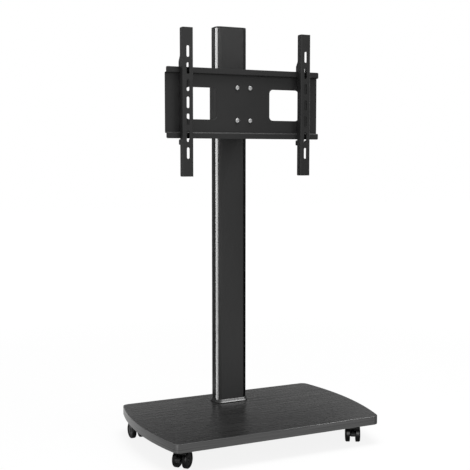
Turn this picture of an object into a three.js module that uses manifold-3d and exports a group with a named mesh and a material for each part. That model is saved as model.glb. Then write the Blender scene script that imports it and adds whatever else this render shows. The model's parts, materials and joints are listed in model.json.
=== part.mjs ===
// A mobile television stand. A bowed board on four twin-wheel castors carries a tall hollow
// column near its rear edge. A clamped sleeve slides up and down on the column and holds a
// tilting head, whose cross plate carries two hanging arms that a television is bolted to.
//
// Lengths are millimetres. The stand is seen from the screen side: +X is to the right, +Y
// points to the rear and +Z points up. The origin is on the floor, under the board's middle.

import * as THREE from "three";
import { mergeVertices } from "three/addons/utils/BufferGeometryUtils.js";
import Module from "manifold-3d";

const wasm = await Module();
wasm.setup();

// Fits, shared by every piece
const touchGap = 0.3;
const boltRoom = 0.4;
const cutOverrun = 5;
const mergeTolerance = 0.0003;

// Board: straight front and rear edges, bowed sides, rounded corners
const boardWidth = 730;
const boardBow = 31;
const boardDepth = 463;
const boardThickness = 26;
const boardCornerRadius = 22;
const edgeBandThickness = 1.5;

// Castors
const castorHeight = 62;
const castorTrail = 14;
const wheelRadius = 25;
const wheelWidth = 13.5;
const wheelGap = 18;
const wheelShoulder = 4;
const wheelShoulderShare = 0.3;
const wheelInnerBevel = 1.5;
const wheelDish = 1.2;
const wheelDishMargin = 7;
const wheelHubRadius = 6;
const wheelCapThickness = 3;
const axleRadius = 3;
const housingSideGap = 1;
const hoodClearance = 1.5;
const hoodThickness = 3;
const hoodEdgeSetback = 3;
const axleBossRadius = 9;
const stemRadius = 4;
const stemPinRadius = 4.5;
const stemPinLength = 22;
const stemThreadLength = 18;
const stemFlangeRadius = 11;
const stemFlangeThickness = 2;
const stemBossRadius = 8.5;
const stemBossFloor = 3;
const leverHubRadius = 8.5;
const leverHubThickness = 8;
const leverHubGap = 0.5;
const leverArmHeight = 9;
const leverPadWidth = 15;
const leverPadRadius = 7.5;
const leverPadStart = 22;
const leverReach = 28;
const frontCastorSideInset = 82;
const frontCastorEdgeInset = 68.5;
const rearCastorSideInset = 49;
const rearCastorEdgeInset = 63.5;

// Angles of the castors about their stems, as the photograph shows them, and of the hood
const castorAngles = { front_left: 132, front_right: 151, rear_left: 182, rear_right: 201 };
const hoodStartDegrees = 46;
const hoodEndDegrees = 172;
const leverLiftDegrees = 12;

// Column: a hollow extrusion with four screw channels
const columnWidth = 106;
const columnDepth = 56;
const columnHeight = 1197;
const columnCornerRadius = 16;
const columnWall = 2.5;
const columnRearSetback = 63;
const screwChannelRadius = 7.2;
const screwChannelInset = 10.5;
const footBoltRadius = 4;
const footBoltHeadRadius = 7.5;
const footBoltHeadHeight = 5;
const footBoltGrip = 38;
const footPlateWidth = 190;
const footPlateDepth = 96;
const footPlateThickness = 3;
const footPlateCornerRadius = 12;
const footTrimHeight = 10;
const footTrimReach = 5.5;
const footTrimWall = 1.2;
const footTrimLip = 2;
const topCapThickness = 5;
const topCapChamfer = 2;
const topCapPlugLength = 14;
const topCapPlugWidth = 62;

// Cable cover on the column's rear face
const cableCoverWidth = 46;
const cableCoverDepth = 20;
const cableCoverWall = 2;
const cableCoverCornerRadius = 6;
const cableCoverLift = 30;
const cableCoverLength = 700;

// Sleeve that slides on the column
const headHeight = 955;
const sleeveHeight = 150;
const sleeveWall = 3.5;
const linerGap = 0.4;
const linerThickness = 1.8;
const linerEndSetback = 1.5;
const knobBossRadius = 10;
const knobBossLength = 10;
const knobStudRadius = 4;
const knobRadius = 19;
const knobLobeDepth = 2.2;
const knobThickness = 15;
const knobNeckRadius = 9;
const knobNeckLength = 3;
const knobSpacing = 80;

// Tilting joint between the sleeve and the head
const tiltPlateThickness = 4;
const tiltBaseWidth = 70;
const tiltPivotReach = 30;
const tiltPivotLift = 20;
const tiltLockDrop = 40;
const tiltEarRadius = 15;
const tiltSideGap = 1;
const tiltCheekMargin = 9;
const tiltCheekRear = 17;
const tiltCheekCornerRadius = 9;
const yokeReach = 34;
const yokeHeight = 130;
const pivotBoltRadius = 5;
const pivotHeadRadius = 9;
const pivotHeadHeight = 6;
const boltEndProud = 2.5;
const tiltDownDegrees = 12;
const tiltUpDegrees = 5;
const baseScrewRadius = 3;
const baseScrewHeadRadius = 5.5;
const baseScrewHeadHeight = 3;
const baseScrewSpacingX = 40;
const baseScrewEndMargin = 12;

// Head: cross plate and hanging arms
const plateLength = 520;
const plateHeight = 180;
const plateSheet = 2.5;
const plateShelf = 14;
const plateLip = 16;
const plateWindowWidth = 104;
const plateWindowHeight = 96;
const plateWindowX = 142;
const plateWindowRadius = 12;
const headBoltRadius = 4;
const headBoltHeadRadius = 7;
const headBoltHeadHeight = 4;
const headBoltTail = 5;
const headBoltSpacingX = 44;
const headBoltSpacingZ = 100;
const armHeight = 440;
const armWidth = 34;
const armSheet = 2;
const armDepth = 33;
const armSpacing = 400;
const hookGap = 0.5;
const hookTongueDrop = 12;
const armRearGap = 1.5;
const armFootGap = 3;
const armFootHeight = 16;
const armTabThickness = 3;
const armSlotRadius = 4.3;
const armSlotLength = 34;
const armSlotPitch = 50;
const armSlotMargin = 20;
const lockScrewRadius = 2.5;
const lockScrewHeadRadius = 7;
const lockScrewHeadHeight = 8;
const lockScrewRise = 6;

// How finely curves are cut
const roundSides = 24;
const smallRoundSides = 12;
const hexSides = 6;
const arcSteps = 3;
const boardArcSteps = 6;
const trimSteps = 5;
const knobSides = 42;
const knobLobes = 7;
const slotArcSteps = 8;

// Colours and finishes
const finish = (color, roughness, metalness) =>
  new THREE.MeshStandardMaterial({ color, roughness, metalness });
const blackWoodGrain = finish(0x2b2b2c, 0.55, 0);
const charcoalEdging = finish(0x3a3a3b, 0.45, 0);
const blackAluminium = finish(0x222224, 0.32, 0.7);
const blackSteel = finish(0x1d1d1f, 0.5, 0.5);
const blackPlastic = finish(0x141415, 0.6, 0);
const blackTyre = finish(0x101011, 0.75, 0);
const zincSteel = finish(0x9a9b9d, 0.35, 1);

// Heights and depths that more than one piece needs
const boardBottom = castorHeight;
const boardTop = boardBottom + boardThickness;
const columnY = boardDepth / 2 - columnRearSetback - columnDepth / 2;
const columnFront = columnY - columnDepth / 2;
const columnRear = columnY + columnDepth / 2;
const columnTop = boardTop + columnHeight;
const headZ = boardTop + headHeight;
const linerOuter = linerGap + linerThickness;
const sleeveInner = linerOuter + touchGap;
const sleeveOuter = sleeveInner + sleeveWall;
const sleeveFront = columnFront - sleeveOuter;
const sleeveRear = columnRear + sleeveOuter;
const pivotY = sleeveFront - tiltPlateThickness - tiltPivotReach;
const pivotZ = headZ + tiltPivotLift;
const lockZ = pivotZ - tiltLockDrop;
const cheekInnerX = tiltBaseWidth / 2 + tiltSideGap;
const cheekOuterX = cheekInnerX + tiltPlateThickness;
const yokeRear = pivotY - yokeReach;
const plateRear = yokeRear - tiltPlateThickness;
const lipFront = plateRear - plateShelf;
const armFront = plateRear - plateSheet - armRearGap - armDepth;

// A closed mesh geometry as a solid that can be cut and joined.
function solidOf(geometry) {
  const bare = new THREE.BufferGeometry();
  const source = geometry.index ? geometry.toNonIndexed() : geometry;
  bare.setAttribute("position", source.getAttribute("position"));
  const merged = mergeVertices(bare, mergeTolerance);
  return new wasm.Manifold(
    new wasm.Mesh({
      numProp: 3,
      vertProperties: merged.attributes.position.array,
      triVerts: new Uint32Array(merged.index.array),
    }),
  );
}

function geometryOf(solid) {
  const mesh = solid.getMesh();
  const geometry = new THREE.BufferGeometry();
  geometry.setAttribute("position", new THREE.BufferAttribute(mesh.vertProperties, 3));
  geometry.setIndex(new THREE.BufferAttribute(mesh.triVerts, 1));
  const shaded = geometry.toNonIndexed();
  shaded.computeVertexNormals();
  return shaded;
}

const join = (...solids) => solids.reduce((all, next) => all.add(next));
const cut = (solid, ...tools) => tools.reduce((left, tool) => left.subtract(tool), solid);

function piece(name, shape, material) {
  const geometry = shape.isBufferGeometry ? shape : geometryOf(shape);
  const mesh = new THREE.Mesh(geometry, material);
  mesh.name = name;
  return mesh;
}

// A flat outline pulled up along +Z from height z.
function standing(outline, height, z, curveSegments = arcSteps) {
  const settings = { depth: height, bevelEnabled: false, curveSegments };
  return new THREE.ExtrudeGeometry(outline, settings).translate(0, 0, z);
}

// An outline drawn in (Y, Z), centred across X.
function across(outline, width, x = 0) {
  const settings = { depth: width, bevelEnabled: false, curveSegments: arcSteps };
  const turn = new THREE.Matrix4().makeBasis(
    new THREE.Vector3(0, 1, 0),
    new THREE.Vector3(0, 0, 1),
    new THREE.Vector3(1, 0, 0),
  );
  return new THREE.ExtrudeGeometry(outline, settings)
    .translate(0, 0, -width / 2)
    .applyMatrix4(turn)
    .translate(x, 0, 0);
}

// An outline drawn in (X, Z), pulled from rearY towards the front.
function forward(outline, depth, rearY) {
  const settings = { depth, bevelEnabled: false, curveSegments: arcSteps };
  const turn = new THREE.Matrix4().makeBasis(
    new THREE.Vector3(1, 0, 0),
    new THREE.Vector3(0, 0, 1),
    new THREE.Vector3(0, -1, 0),
  );
  return new THREE.ExtrudeGeometry(outline, settings).applyMatrix4(turn).translate(0, rearY, 0);
}

// A round or hexagonal bar from one end point to the other along X, Y or Z.
function bar(radius, start, end, sides = smallRoundSides) {
  const from = new THREE.Vector3(...start);
  const to = new THREE.Vector3(...end);
  const along = to.clone().sub(from);
  const turn = new THREE.Quaternion().setFromUnitVectors(
    new THREE.Vector3(0, 1, 0),
    along.clone().normalize(),
  );
  return new THREE.CylinderGeometry(radius, radius, along.length(), sides)
    .applyQuaternion(turn)
    .translate(...from.add(to).multiplyScalar(0.5).toArray());
}

function roundedBox(width, depth, radius, centreX = 0, centreY = 0) {
  const x = width / 2 - radius;
  const y = depth / 2 - radius;
  const quarter = Math.PI / 2;
  const outline = new THREE.Shape();
  outline.absarc(centreX + x, centreY - y, radius, -quarter, 0);
  outline.absarc(centreX + x, centreY + y, radius, 0, quarter);
  outline.absarc(centreX - x, centreY + y, radius, quarter, 2 * quarter);
  outline.absarc(centreX - x, centreY - y, radius, 2 * quarter, 3 * quarter);
  outline.closePath();
  return outline;
}

const columnOutline = (grow) =>
  roundedBox(
    columnWidth + 2 * grow,
    columnDepth + 2 * grow,
    columnCornerRadius + grow,
    0,
    columnY,
  );

function circleHole(x, y, radius) {
  const points = Array.from({ length: smallRoundSides }, (_, side) => {
    const turn = (2 * Math.PI * side) / smallRoundSides;
    return new THREE.Vector2(x + radius * Math.cos(turn), y + radius * Math.sin(turn));
  });
  return new THREE.Path(points);
}

// The board's plan, drawn in by inset all round.
function boardOutline(inset) {
  const halfDepth = boardDepth / 2;
  const sideRadius = (boardBow * boardBow + halfDepth * halfDepth) / (2 * boardBow);
  const sideCentre = boardWidth / 2 - sideRadius;
  const cornerY = halfDepth - boardCornerRadius;
  const cornerX =
    sideCentre + Math.sqrt((sideRadius - boardCornerRadius) ** 2 - cornerY ** 2);
  const swing = Math.atan2(cornerY, cornerX - sideCentre);
  const corner = boardCornerRadius - inset;
  const side = sideRadius - inset;
  const half = Math.PI;
  const outline = new THREE.Shape();
  outline.absarc(sideCentre, 0, side, -swing, swing);
  outline.absarc(cornerX, cornerY, corner, swing, half / 2);
  outline.absarc(-cornerX, cornerY, corner, half / 2, half - swing);
  outline.absarc(-sideCentre, 0, side, half - swing, half + swing);
  outline.absarc(-cornerX, -cornerY, corner, half + swing, 1.5 * half);
  outline.absarc(cornerX, -cornerY, corner, -half / 2, -swing);
  outline.closePath();
  return outline;
}

const screwChannels = [-1, 1].flatMap((sideX) =>
  [-1, 1].map((sideY) => [
    sideX * (columnWidth / 2 - screwChannelInset),
    columnY + sideY * (columnDepth / 2 - screwChannelInset),
  ]),
);

const frontCastorX = boardWidth / 2 - frontCastorSideInset;
const frontCastorY = frontCastorEdgeInset - boardDepth / 2;
const rearCastorX = boardWidth / 2 - rearCastorSideInset;
const rearCastorY = boardDepth / 2 - rearCastorEdgeInset;
const castorPlaces = {
  front_left: [-frontCastorX, frontCastorY],
  front_right: [frontCastorX, frontCastorY],
  rear_left: [-rearCastorX, rearCastorY],
  rear_right: [rearCastorX, rearCastorY],
};

function baseAssembly() {
  const core = boardOutline(edgeBandThickness + touchGap);
  for (const [x, y] of screwChannels) {
    core.holes.push(circleHole(x, y, footBoltRadius + boltRoom));
  }
  const stemHoles = Object.values(castorPlaces).map(([x, y]) =>
    solidOf(
      bar(
        stemRadius + touchGap,
        [x, y, boardBottom - cutOverrun],
        [x, y, boardBottom + stemThreadLength + touchGap],
      ),
    ),
  );
  const board = cut(
    solidOf(standing(core, boardThickness, boardBottom, boardArcSteps)),
    ...stemHoles,
  );

  const band = boardOutline(0);
  band.holes.push(boardOutline(edgeBandThickness));

  const plate = roundedBox(footPlateWidth, footPlateDepth, footPlateCornerRadius, 0, columnY);
  for (const [x, y] of screwChannels) {
    plate.holes.push(circleHole(x, y, footBoltRadius + boltRoom));
  }
  const plateBottom = boardBottom - footPlateThickness;

  const bolts = screwChannels.map(([x, y], index) => {
    const head = solidOf(
      bar(footBoltHeadRadius, [x, y, plateBottom - footBoltHeadHeight], [x, y, plateBottom]),
    );
    const shank = solidOf(
      bar(footBoltRadius, [x, y, plateBottom - touchGap], [x, y, boardTop + footBoltGrip]),
    );
    return piece(`foot_bolt_${index + 1}`, join(head, shank), zincSteel);
  });

  return [
    piece("base_board", board, blackWoodGrain),
    piece("edge_band", standing(band, boardThickness, boardBottom, boardArcSteps), charcoalEdging),
    piece("foot_plate", standing(plate, footPlateThickness, plateBottom), blackSteel),
    ...bolts,
  ];
}

// The points of the column's outline, grown outwards, at one height.
function columnLoop(grow, z) {
  const points = columnOutline(grow).getPoints(arcSteps);
  points.pop();
  return points.map((point) => new THREE.Vector3(point.x, point.y, z));
}

// A closed ring through loops of equal point counts, the last joined to the first.
function ringThrough(loops) {
  const count = loops[0].length;
  const positions = loops.flat().flatMap((point) => point.toArray());
  const faces = [];
  loops.forEach((_, row) => {
    const next = (row + 1) % loops.length;
    for (let i = 0; i < count; i += 1) {
      const j = (i + 1) % count;
      const [a, b] = [row * count + i, row * count + j];
      const [c, d] = [next * count + i, next * count + j];
      faces.push(a, b, d, a, d, c);
    }
  });
  const geometry = new THREE.BufferGeometry();
  geometry.setAttribute("position", new THREE.Float32BufferAttribute(positions, 3));
  geometry.setIndex(faces);
  return geometry;
}

function columnAssembly() {
  const over = columnHeight + 2 * cutOverrun;
  const start = boardTop - cutOverrun;
  const channels = screwChannels.map(([x, y]) => [x, y, start]);
  const top = ([x, y]) => [x, y, start + over];
  const channelWalls = channels.map((at) => solidOf(bar(screwChannelRadius, at, top(at))));
  const channelBores = channels.map((at) =>
    solidOf(bar(footBoltRadius + boltRoom, at, top(at))),
  );
  const cavity = cut(solidOf(standing(columnOutline(-columnWall), over, start)), ...channelWalls);
  const body = solidOf(standing(columnOutline(0), columnHeight, boardTop));
  const column = cut(body, cavity, ...channelBores);

  // The foot trim flares out to the board in a concave quarter curve, above a short lip.
  const flare = [];
  for (let i = 0; i <= trimSteps; i += 1) {
    const turn = ((i / trimSteps) * Math.PI) / 2;
    const grow = footTrimReach - (footTrimReach - footTrimWall) * Math.sin(turn);
    const z = footTrimLip + (footTrimHeight - footTrimLip) * (1 - Math.cos(turn));
    flare.push(columnLoop(grow, boardTop + z));
  }
  const trim = ringThrough([
    columnLoop(footTrimReach, boardTop),
    ...flare,
    columnLoop(touchGap, boardTop + footTrimHeight),
    columnLoop(touchGap, boardTop),
  ]);

  const capFlat = topCapThickness - topCapChamfer;
  const capBevel = new THREE.ExtrudeGeometry(columnOutline(-topCapChamfer), {
    depth: capFlat,
    bevelThickness: topCapChamfer,
    bevelSize: topCapChamfer,
    bevelSegments: 1,
    curveSegments: arcSteps,
  }).translate(0, 0, columnTop);
  const below = standing(columnOutline(cutOverrun), cutOverrun, columnTop - cutOverrun);
  const plugDepth = columnDepth - 2 * columnWall - 2 * boltRoom;
  const plugOutline = roundedBox(topCapPlugWidth, plugDepth, topCapChamfer, 0, columnY);
  const plugLength = topCapPlugLength + topCapChamfer;
  const plug = standing(plugOutline, plugLength, columnTop - topCapPlugLength);
  const cap = join(cut(solidOf(capBevel), solidOf(below)), solidOf(plug));

  return [
    piece("column", column, blackAluminium),
    piece("column_foot_trim", trim, blackPlastic),
    piece("column_top_cap", cap, blackPlastic),
    piece("cable_cover", cableCover(), blackPlastic),
  ];
}

function cableCover() {
  const height = cableCoverLength;
  const z = boardTop + footTrimHeight + cableCoverLift;
  const innerWidth = cableCoverWidth - 2 * cableCoverWall;
  const innerDepth = cableCoverDepth - cableCoverWall;
  const innerRadius = cableCoverCornerRadius - cableCoverWall;
  const outer = roundedBox(
    cableCoverWidth,
    2 * cableCoverDepth,
    cableCoverCornerRadius,
    0,
    columnRear,
  );
  const inner = roundedBox(innerWidth, 2 * innerDepth, innerRadius, 0, columnRear);
  const columnSide = roundedBox(
    2 * cableCoverWidth,
    2 * cableCoverDepth,
    cableCoverCornerRadius,
    0,
    columnRear - cableCoverDepth,
  );
  const longer = height + 2 * cutOverrun;
  return cut(
    solidOf(standing(outer, height, z)),
    solidOf(standing(inner, longer, z - cutOverrun)),
    solidOf(standing(columnSide, longer, z - cutOverrun)),
  );
}

// A lobed hand knob with its neck and threaded stud, along +Y from the stud's tip.
function knobSolid(studLength) {
  const outline = new THREE.Shape();
  for (let i = 0; i < knobSides; i += 1) {
    const turn = (2 * Math.PI * i) / knobSides;
    const reach = knobRadius - knobLobeDepth / 2 + (knobLobeDepth / 2) * Math.cos(knobLobes * turn);
    const point = [reach * Math.cos(turn), reach * Math.sin(turn)];
    if (i === 0) outline.moveTo(...point);
    else outline.lineTo(...point);
  }
  outline.closePath();
  const headStart = studLength + knobNeckLength;
  const head = forward(outline, knobThickness, headStart + knobThickness);
  const neck = bar(knobNeckRadius, [0, studLength, 0], [0, headStart + touchGap, 0]);
  const stud = bar(knobStudRadius, [0, 0, 0], [0, studLength + touchGap, 0]);
  return join(solidOf(head), solidOf(neck), solidOf(stud));
}

function sleeveAssembly() {
  const bottom = headZ - sleeveHeight / 2;
  const shell = columnOutline(sleeveOuter);
  shell.holes.push(columnOutline(sleeveInner));
  const knobHeights = [headZ + knobSpacing / 2, headZ - knobSpacing / 2];
  const bossEnd = sleeveRear + knobBossLength;
  const bosses = knobHeights.map((z) =>
    solidOf(bar(knobBossRadius, [0, sleeveRear - touchGap, z], [0, bossEnd, z])),
  );
  const bores = knobHeights.map((z) =>
    solidOf(
      bar(
        knobStudRadius + touchGap,
        [0, sleeveRear - sleeveWall - touchGap, z],
        [0, bossEnd + cutOverrun, z],
      ),
    ),
  );
  const sleeve = cut(join(solidOf(standing(shell, sleeveHeight, bottom)), ...bosses), ...bores);

  const ring = columnOutline(linerOuter);
  ring.holes.push(columnOutline(linerGap));
  const linerHeight = sleeveHeight - 2 * linerEndSetback;
  const liner = standing(ring, linerHeight, bottom + linerEndSetback);

  const studTip = columnRear + linerOuter + touchGap;
  const knob = knobSolid(bossEnd + touchGap - studTip);
  const knobs = ["upper", "lower"].map((name, index) =>
    piece(`height_knob_${name}`, knob.translate([0, studTip, knobHeights[index]]), blackPlastic),
  );
  return [
    piece("carriage_sleeve", sleeve, blackSteel),
    piece("sleeve_liner", liner, blackPlastic),
    ...knobs,
  ];
}

// The side outline of the ears that carry the tilt pivot, in (Y, Z).
function earOutline() {
  const outline = new THREE.Shape();
  outline.moveTo(sleeveFront - tiltPlateThickness, pivotZ + tiltEarRadius);
  outline.absarc(pivotY, pivotZ, tiltEarRadius, Math.PI / 2, Math.PI);
  outline.absarc(pivotY, lockZ, tiltEarRadius, Math.PI, 1.5 * Math.PI);
  outline.lineTo(sleeveFront - tiltPlateThickness, lockZ - tiltEarRadius);
  outline.lineTo(sleeveFront, lockZ - tiltEarRadius);
  outline.lineTo(sleeveFront, pivotZ + tiltEarRadius);
  outline.closePath();
  return outline;
}

const baseScrewPlaces = [-1, 1].flatMap((sideX) =>
  [pivotZ + tiltEarRadius - baseScrewEndMargin, lockZ - tiltEarRadius + baseScrewEndMargin].map(
    (z) => [(sideX * baseScrewSpacingX) / 2, z],
  ),
);

function tiltBase() {
  const earX = tiltBaseWidth / 2 - tiltPlateThickness / 2;
  const ears = [-earX, earX].map((x) => solidOf(across(earOutline(), tiltPlateThickness, x)));
  const webHeight = tiltLockDrop + 2 * tiltEarRadius;
  const web = new THREE.BoxGeometry(tiltBaseWidth, tiltPlateThickness, webHeight).translate(
    0,
    sleeveFront - tiltPlateThickness / 2,
    (pivotZ + lockZ) / 2,
  );
  const reach = tiltBaseWidth / 2 + cutOverrun;
  const holes = [
    bar(pivotBoltRadius + touchGap, [-reach, pivotY, pivotZ], [reach, pivotY, pivotZ]),
    bar(knobStudRadius + touchGap, [-reach, pivotY, lockZ], [reach, pivotY, lockZ]),
    ...baseScrewPlaces.map(([x, z]) =>
      bar(
        baseScrewRadius + touchGap,
        [x, sleeveFront + cutOverrun, z],
        [x, sleeveFront - tiltPlateThickness - cutOverrun, z],
      ),
    ),
  ];
  return cut(join(solidOf(web), ...ears), ...holes.map(solidOf));
}

// The curved slot in a cheek that the tilt lock's stud runs in, in (Y, Z).
function lockSlot() {
  const degree = Math.PI / 180;
  const width = knobStudRadius + boltRoom;
  const studAngle = Math.asin(width / tiltLockDrop);
  const down = -Math.PI / 2 - tiltDownDegrees * degree - studAngle;
  const up = -Math.PI / 2 + tiltUpDegrees * degree + studAngle;
  const outline = new THREE.Shape();
  const place = (angle, radius) => [
    pivotY + radius * Math.cos(angle),
    pivotZ + radius * Math.sin(angle),
  ];
  for (let i = 0; i <= slotArcSteps; i += 1) {
    const point = place(down + ((up - down) * i) / slotArcSteps, tiltLockDrop + width);
    if (i === 0) outline.moveTo(...point);
    else outline.lineTo(...point);
  }
  for (let i = slotArcSteps; i >= 0; i -= 1) {
    outline.lineTo(...place(down + ((up - down) * i) / slotArcSteps, tiltLockDrop - width));
  }
  outline.closePath();
  return outline;
}

function tiltYoke() {
  const cheekRearY = pivotY + tiltCheekRear;
  const cheekTop = pivotZ + tiltEarRadius + touchGap;
  const cheekBottom = lockZ - knobStudRadius - boltRoom - tiltCheekMargin;
  const r = tiltCheekCornerRadius;
  const outline = new THREE.Shape();
  outline.moveTo(yokeRear - tiltPlateThickness, cheekBottom);
  outline.absarc(cheekRearY - r, cheekBottom + r, r, -Math.PI / 2, 0);
  outline.absarc(cheekRearY - r, cheekTop - r, r, 0, Math.PI / 2);
  outline.lineTo(yokeRear - tiltPlateThickness, cheekTop);
  outline.closePath();
  const cheekX = (cheekInnerX + cheekOuterX) / 2;
  const cheeks = [-cheekX, cheekX].map((x) => solidOf(across(outline, tiltPlateThickness, x)));
  const web = new THREE.BoxGeometry(2 * cheekOuterX, tiltPlateThickness, yokeHeight).translate(
    0,
    yokeRear - tiltPlateThickness / 2,
    headZ,
  );
  const reach = cheekOuterX + cutOverrun;
  const tools = [
    bar(pivotBoltRadius + touchGap, [-reach, pivotY, pivotZ], [reach, pivotY, pivotZ]),
    across(lockSlot(), 2 * reach),
    ...headBoltPlaces.map(([x, z]) =>
      bar(headBoltRadius + boltRoom, [x, yokeRear + cutOverrun, z], [x, plateRear - cutOverrun, z]),
    ),
  ];
  return cut(join(solidOf(web), ...cheeks), ...tools.map(solidOf));
}

const headBoltPlaces = [-1, 1].flatMap((sideX) =>
  [1, -1].map((sideZ) => [
    (sideX * headBoltSpacingX) / 2,
    headZ + (sideZ * headBoltSpacingZ) / 2,
  ]),
);

function tiltAssembly() {
  const nutStart = cheekOuterX + touchGap;
  const boltHead = bar(
    pivotHeadRadius,
    [-nutStart - pivotHeadHeight, pivotY, pivotZ],
    [-nutStart, pivotY, pivotZ],
    hexSides,
  );
  const boltShank = bar(
    pivotBoltRadius,
    [-nutStart - touchGap, pivotY, pivotZ],
    [nutStart + pivotHeadHeight + boltEndProud, pivotY, pivotZ],
  );
  const nut = (radius, start, z) => {
    const end = start + Math.sign(start) * pivotHeadHeight;
    return cut(
      solidOf(bar(pivotHeadRadius, [start, pivotY, z], [end, pivotY, z], hexSides)),
      solidOf(
        bar(
          radius + touchGap,
          [start - Math.sign(start) * cutOverrun, pivotY, z],
          [end + Math.sign(start) * cutOverrun, pivotY, z],
        ),
      ),
    );
  };
  const studLength = 2 * nutStart + pivotHeadHeight + boltEndProud;
  const lockKnob = knobSolid(studLength)
    .rotate([0, 0, -90])
    .translate([nutStart - studLength, pivotY, lockZ]);
  const baseScrews = baseScrewPlaces.map(([x, z], index) => {
    const seat = sleeveFront - tiltPlateThickness;
    const head = bar(baseScrewHeadRadius, [x, seat, z], [x, seat - baseScrewHeadHeight, z]);
    const shank = bar(baseScrewRadius, [x, seat - touchGap, z], [x, sleeveFront - touchGap, z]);
    return piece(`tilt_base_screw_${index + 1}`, join(solidOf(head), solidOf(shank)), zincSteel);
  });
  return [
    piece("tilt_base_bracket", tiltBase(), blackSteel),
    ...baseScrews,
    piece("tilt_pivot_bolt", join(solidOf(boltHead), solidOf(boltShank)), zincSteel),
    piece("tilt_pivot_nut", nut(pivotBoltRadius, nutStart, pivotZ), zincSteel),
    piece("tilt_lock_nut", nut(knobStudRadius, -nutStart, lockZ), zincSteel),
    piece("tilt_lock_knob", lockKnob, blackPlastic),
    piece("tilt_yoke", tiltYoke(), blackSteel),
  ];
}

// The folded section of the cross plate in (Y, Z): a web, two shelves and two lips.
function crossPlate() {
  const half = plateHeight / 2;
  const webFront = plateRear - plateSheet;
  const lipBack = lipFront + plateSheet;
  const section = new THREE.Shape();
  const upperHalf = [
    [plateRear, half],
    [lipBack, half],
    [lipBack, half + plateLip],
    [lipFront, half + plateLip],
    [lipFront, half - plateSheet],
    [webFront, half - plateSheet],
  ];
  const lowerHalf = upperHalf.map(([y, z]) => [y, -z]).reverse();
  [...upperHalf, ...lowerHalf].forEach(([y, z], index) => {
    if (index === 0) section.moveTo(y, headZ + z);
    else section.lineTo(y, headZ + z);
  });
  section.closePath();
  const depth = plateSheet + 2 * cutOverrun;
  const windows = [-plateWindowX, plateWindowX].map((x) =>
    solidOf(
      forward(
        roundedBox(plateWindowWidth, plateWindowHeight, plateWindowRadius, x, headZ),
        depth,
        plateRear + cutOverrun,
      ),
    ),
  );
  const holes = headBoltPlaces.map(([x, z]) =>
    solidOf(
      bar(
        headBoltRadius + boltRoom,
        [x, plateRear + cutOverrun, z],
        [x, webFront - cutOverrun, z],
      ),
    ),
  );
  return cut(solidOf(across(section, plateLength)), ...windows, ...holes);
}

// The side outline of one arm flange in (Y, Z), with its hook over the plate's upper lip.
function armFlangeOutline() {
  const rear = plateRear - plateSheet - armRearGap;
  const lipTop = headZ + plateHeight / 2 + plateLip;
  const clear = lipFront - hookGap;
  const tongueFront = lipFront + plateSheet + hookGap;
  const footTop = headZ - plateHeight / 2 - plateLip - armFootGap;
  const points = [
    [armFront, headZ + armHeight / 2],
    [armFront, headZ - armHeight / 2],
    [clear, headZ - armHeight / 2],
    [clear, footTop - armFootHeight],
    [rear, footTop - armFootHeight],
    [rear, footTop],
    [clear, footTop],
    [clear, lipTop + touchGap],
    [tongueFront, lipTop + touchGap],
    [tongueFront, lipTop - hookTongueDrop],
    [rear, lipTop - hookTongueDrop],
    [rear, lipTop + plateLip],
    [clear, lipTop + 2 * plateLip],
    [clear, headZ + armHeight / 2],
  ];
  const outline = new THREE.Shape();
  points.forEach(([y, z], index) => {
    if (index === 0) outline.moveTo(y, z);
    else outline.lineTo(y, z);
  });
  outline.closePath();
  return outline;
}

// An upright slot with round ends, in (X, Z).
function slotOutline(x, z) {
  const reach = armSlotLength / 2 - armSlotRadius;
  const outline = new THREE.Shape();
  outline.absarc(x, z + reach, armSlotRadius, 0, Math.PI);
  outline.absarc(x, z - reach, armSlotRadius, Math.PI, 2 * Math.PI);
  outline.closePath();
  return outline;
}

const lockScrewY = (plateRear - plateSheet - armRearGap + lipFront + plateSheet) / 2;
const armTabTop =
  headZ - plateHeight / 2 - plateLip - armFootGap - armFootHeight + armTabThickness;

function armSolid(x) {
  const flangeX = armWidth / 2 - armSheet / 2;
  const flanges = [x - flangeX, x + flangeX].map((at) =>
    solidOf(across(armFlangeOutline(), armSheet, at)),
  );
  const web = new THREE.BoxGeometry(armWidth, armSheet, armHeight).translate(
    x,
    armFront + armSheet / 2,
    headZ,
  );
  const rear = plateRear - plateSheet - armRearGap;
  const tabDepth = rear - armFront;
  const tab = new THREE.BoxGeometry(armWidth, tabDepth, armTabThickness).translate(
    x,
    armFront + tabDepth / 2,
    armTabTop - armTabThickness / 2,
  );
  const screwHole = bar(
    lockScrewRadius + touchGap,
    [x, lockScrewY, armTabTop + cutOverrun],
    [x, lockScrewY, armTabTop - armTabThickness - cutOverrun],
  );
  const slotCount = Math.floor((armHeight / 2 - armSlotMargin) / armSlotPitch);
  const slots = [];
  for (let i = -slotCount; i <= slotCount; i += 1) {
    const slot = slotOutline(x, headZ + i * armSlotPitch);
    slots.push(solidOf(forward(slot, armSheet + 2 * cutOverrun, armFront + armSheet + cutOverrun)));
  }
  return cut(join(solidOf(web), ...flanges, solidOf(tab)), solidOf(screwHole), ...slots);
}

function lockScrew(x) {
  const tabBottom = armTabTop - armTabThickness;
  const head = bar(
    lockScrewHeadRadius,
    [x, lockScrewY, tabBottom - lockScrewHeadHeight],
    [x, lockScrewY, tabBottom],
  );
  const tip = headZ - plateHeight / 2 - plateLip + lockScrewRise;
  const shank = bar(lockScrewRadius, [x, lockScrewY, tabBottom - touchGap], [x, lockScrewY, tip]);
  return join(solidOf(head), solidOf(shank));
}

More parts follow.
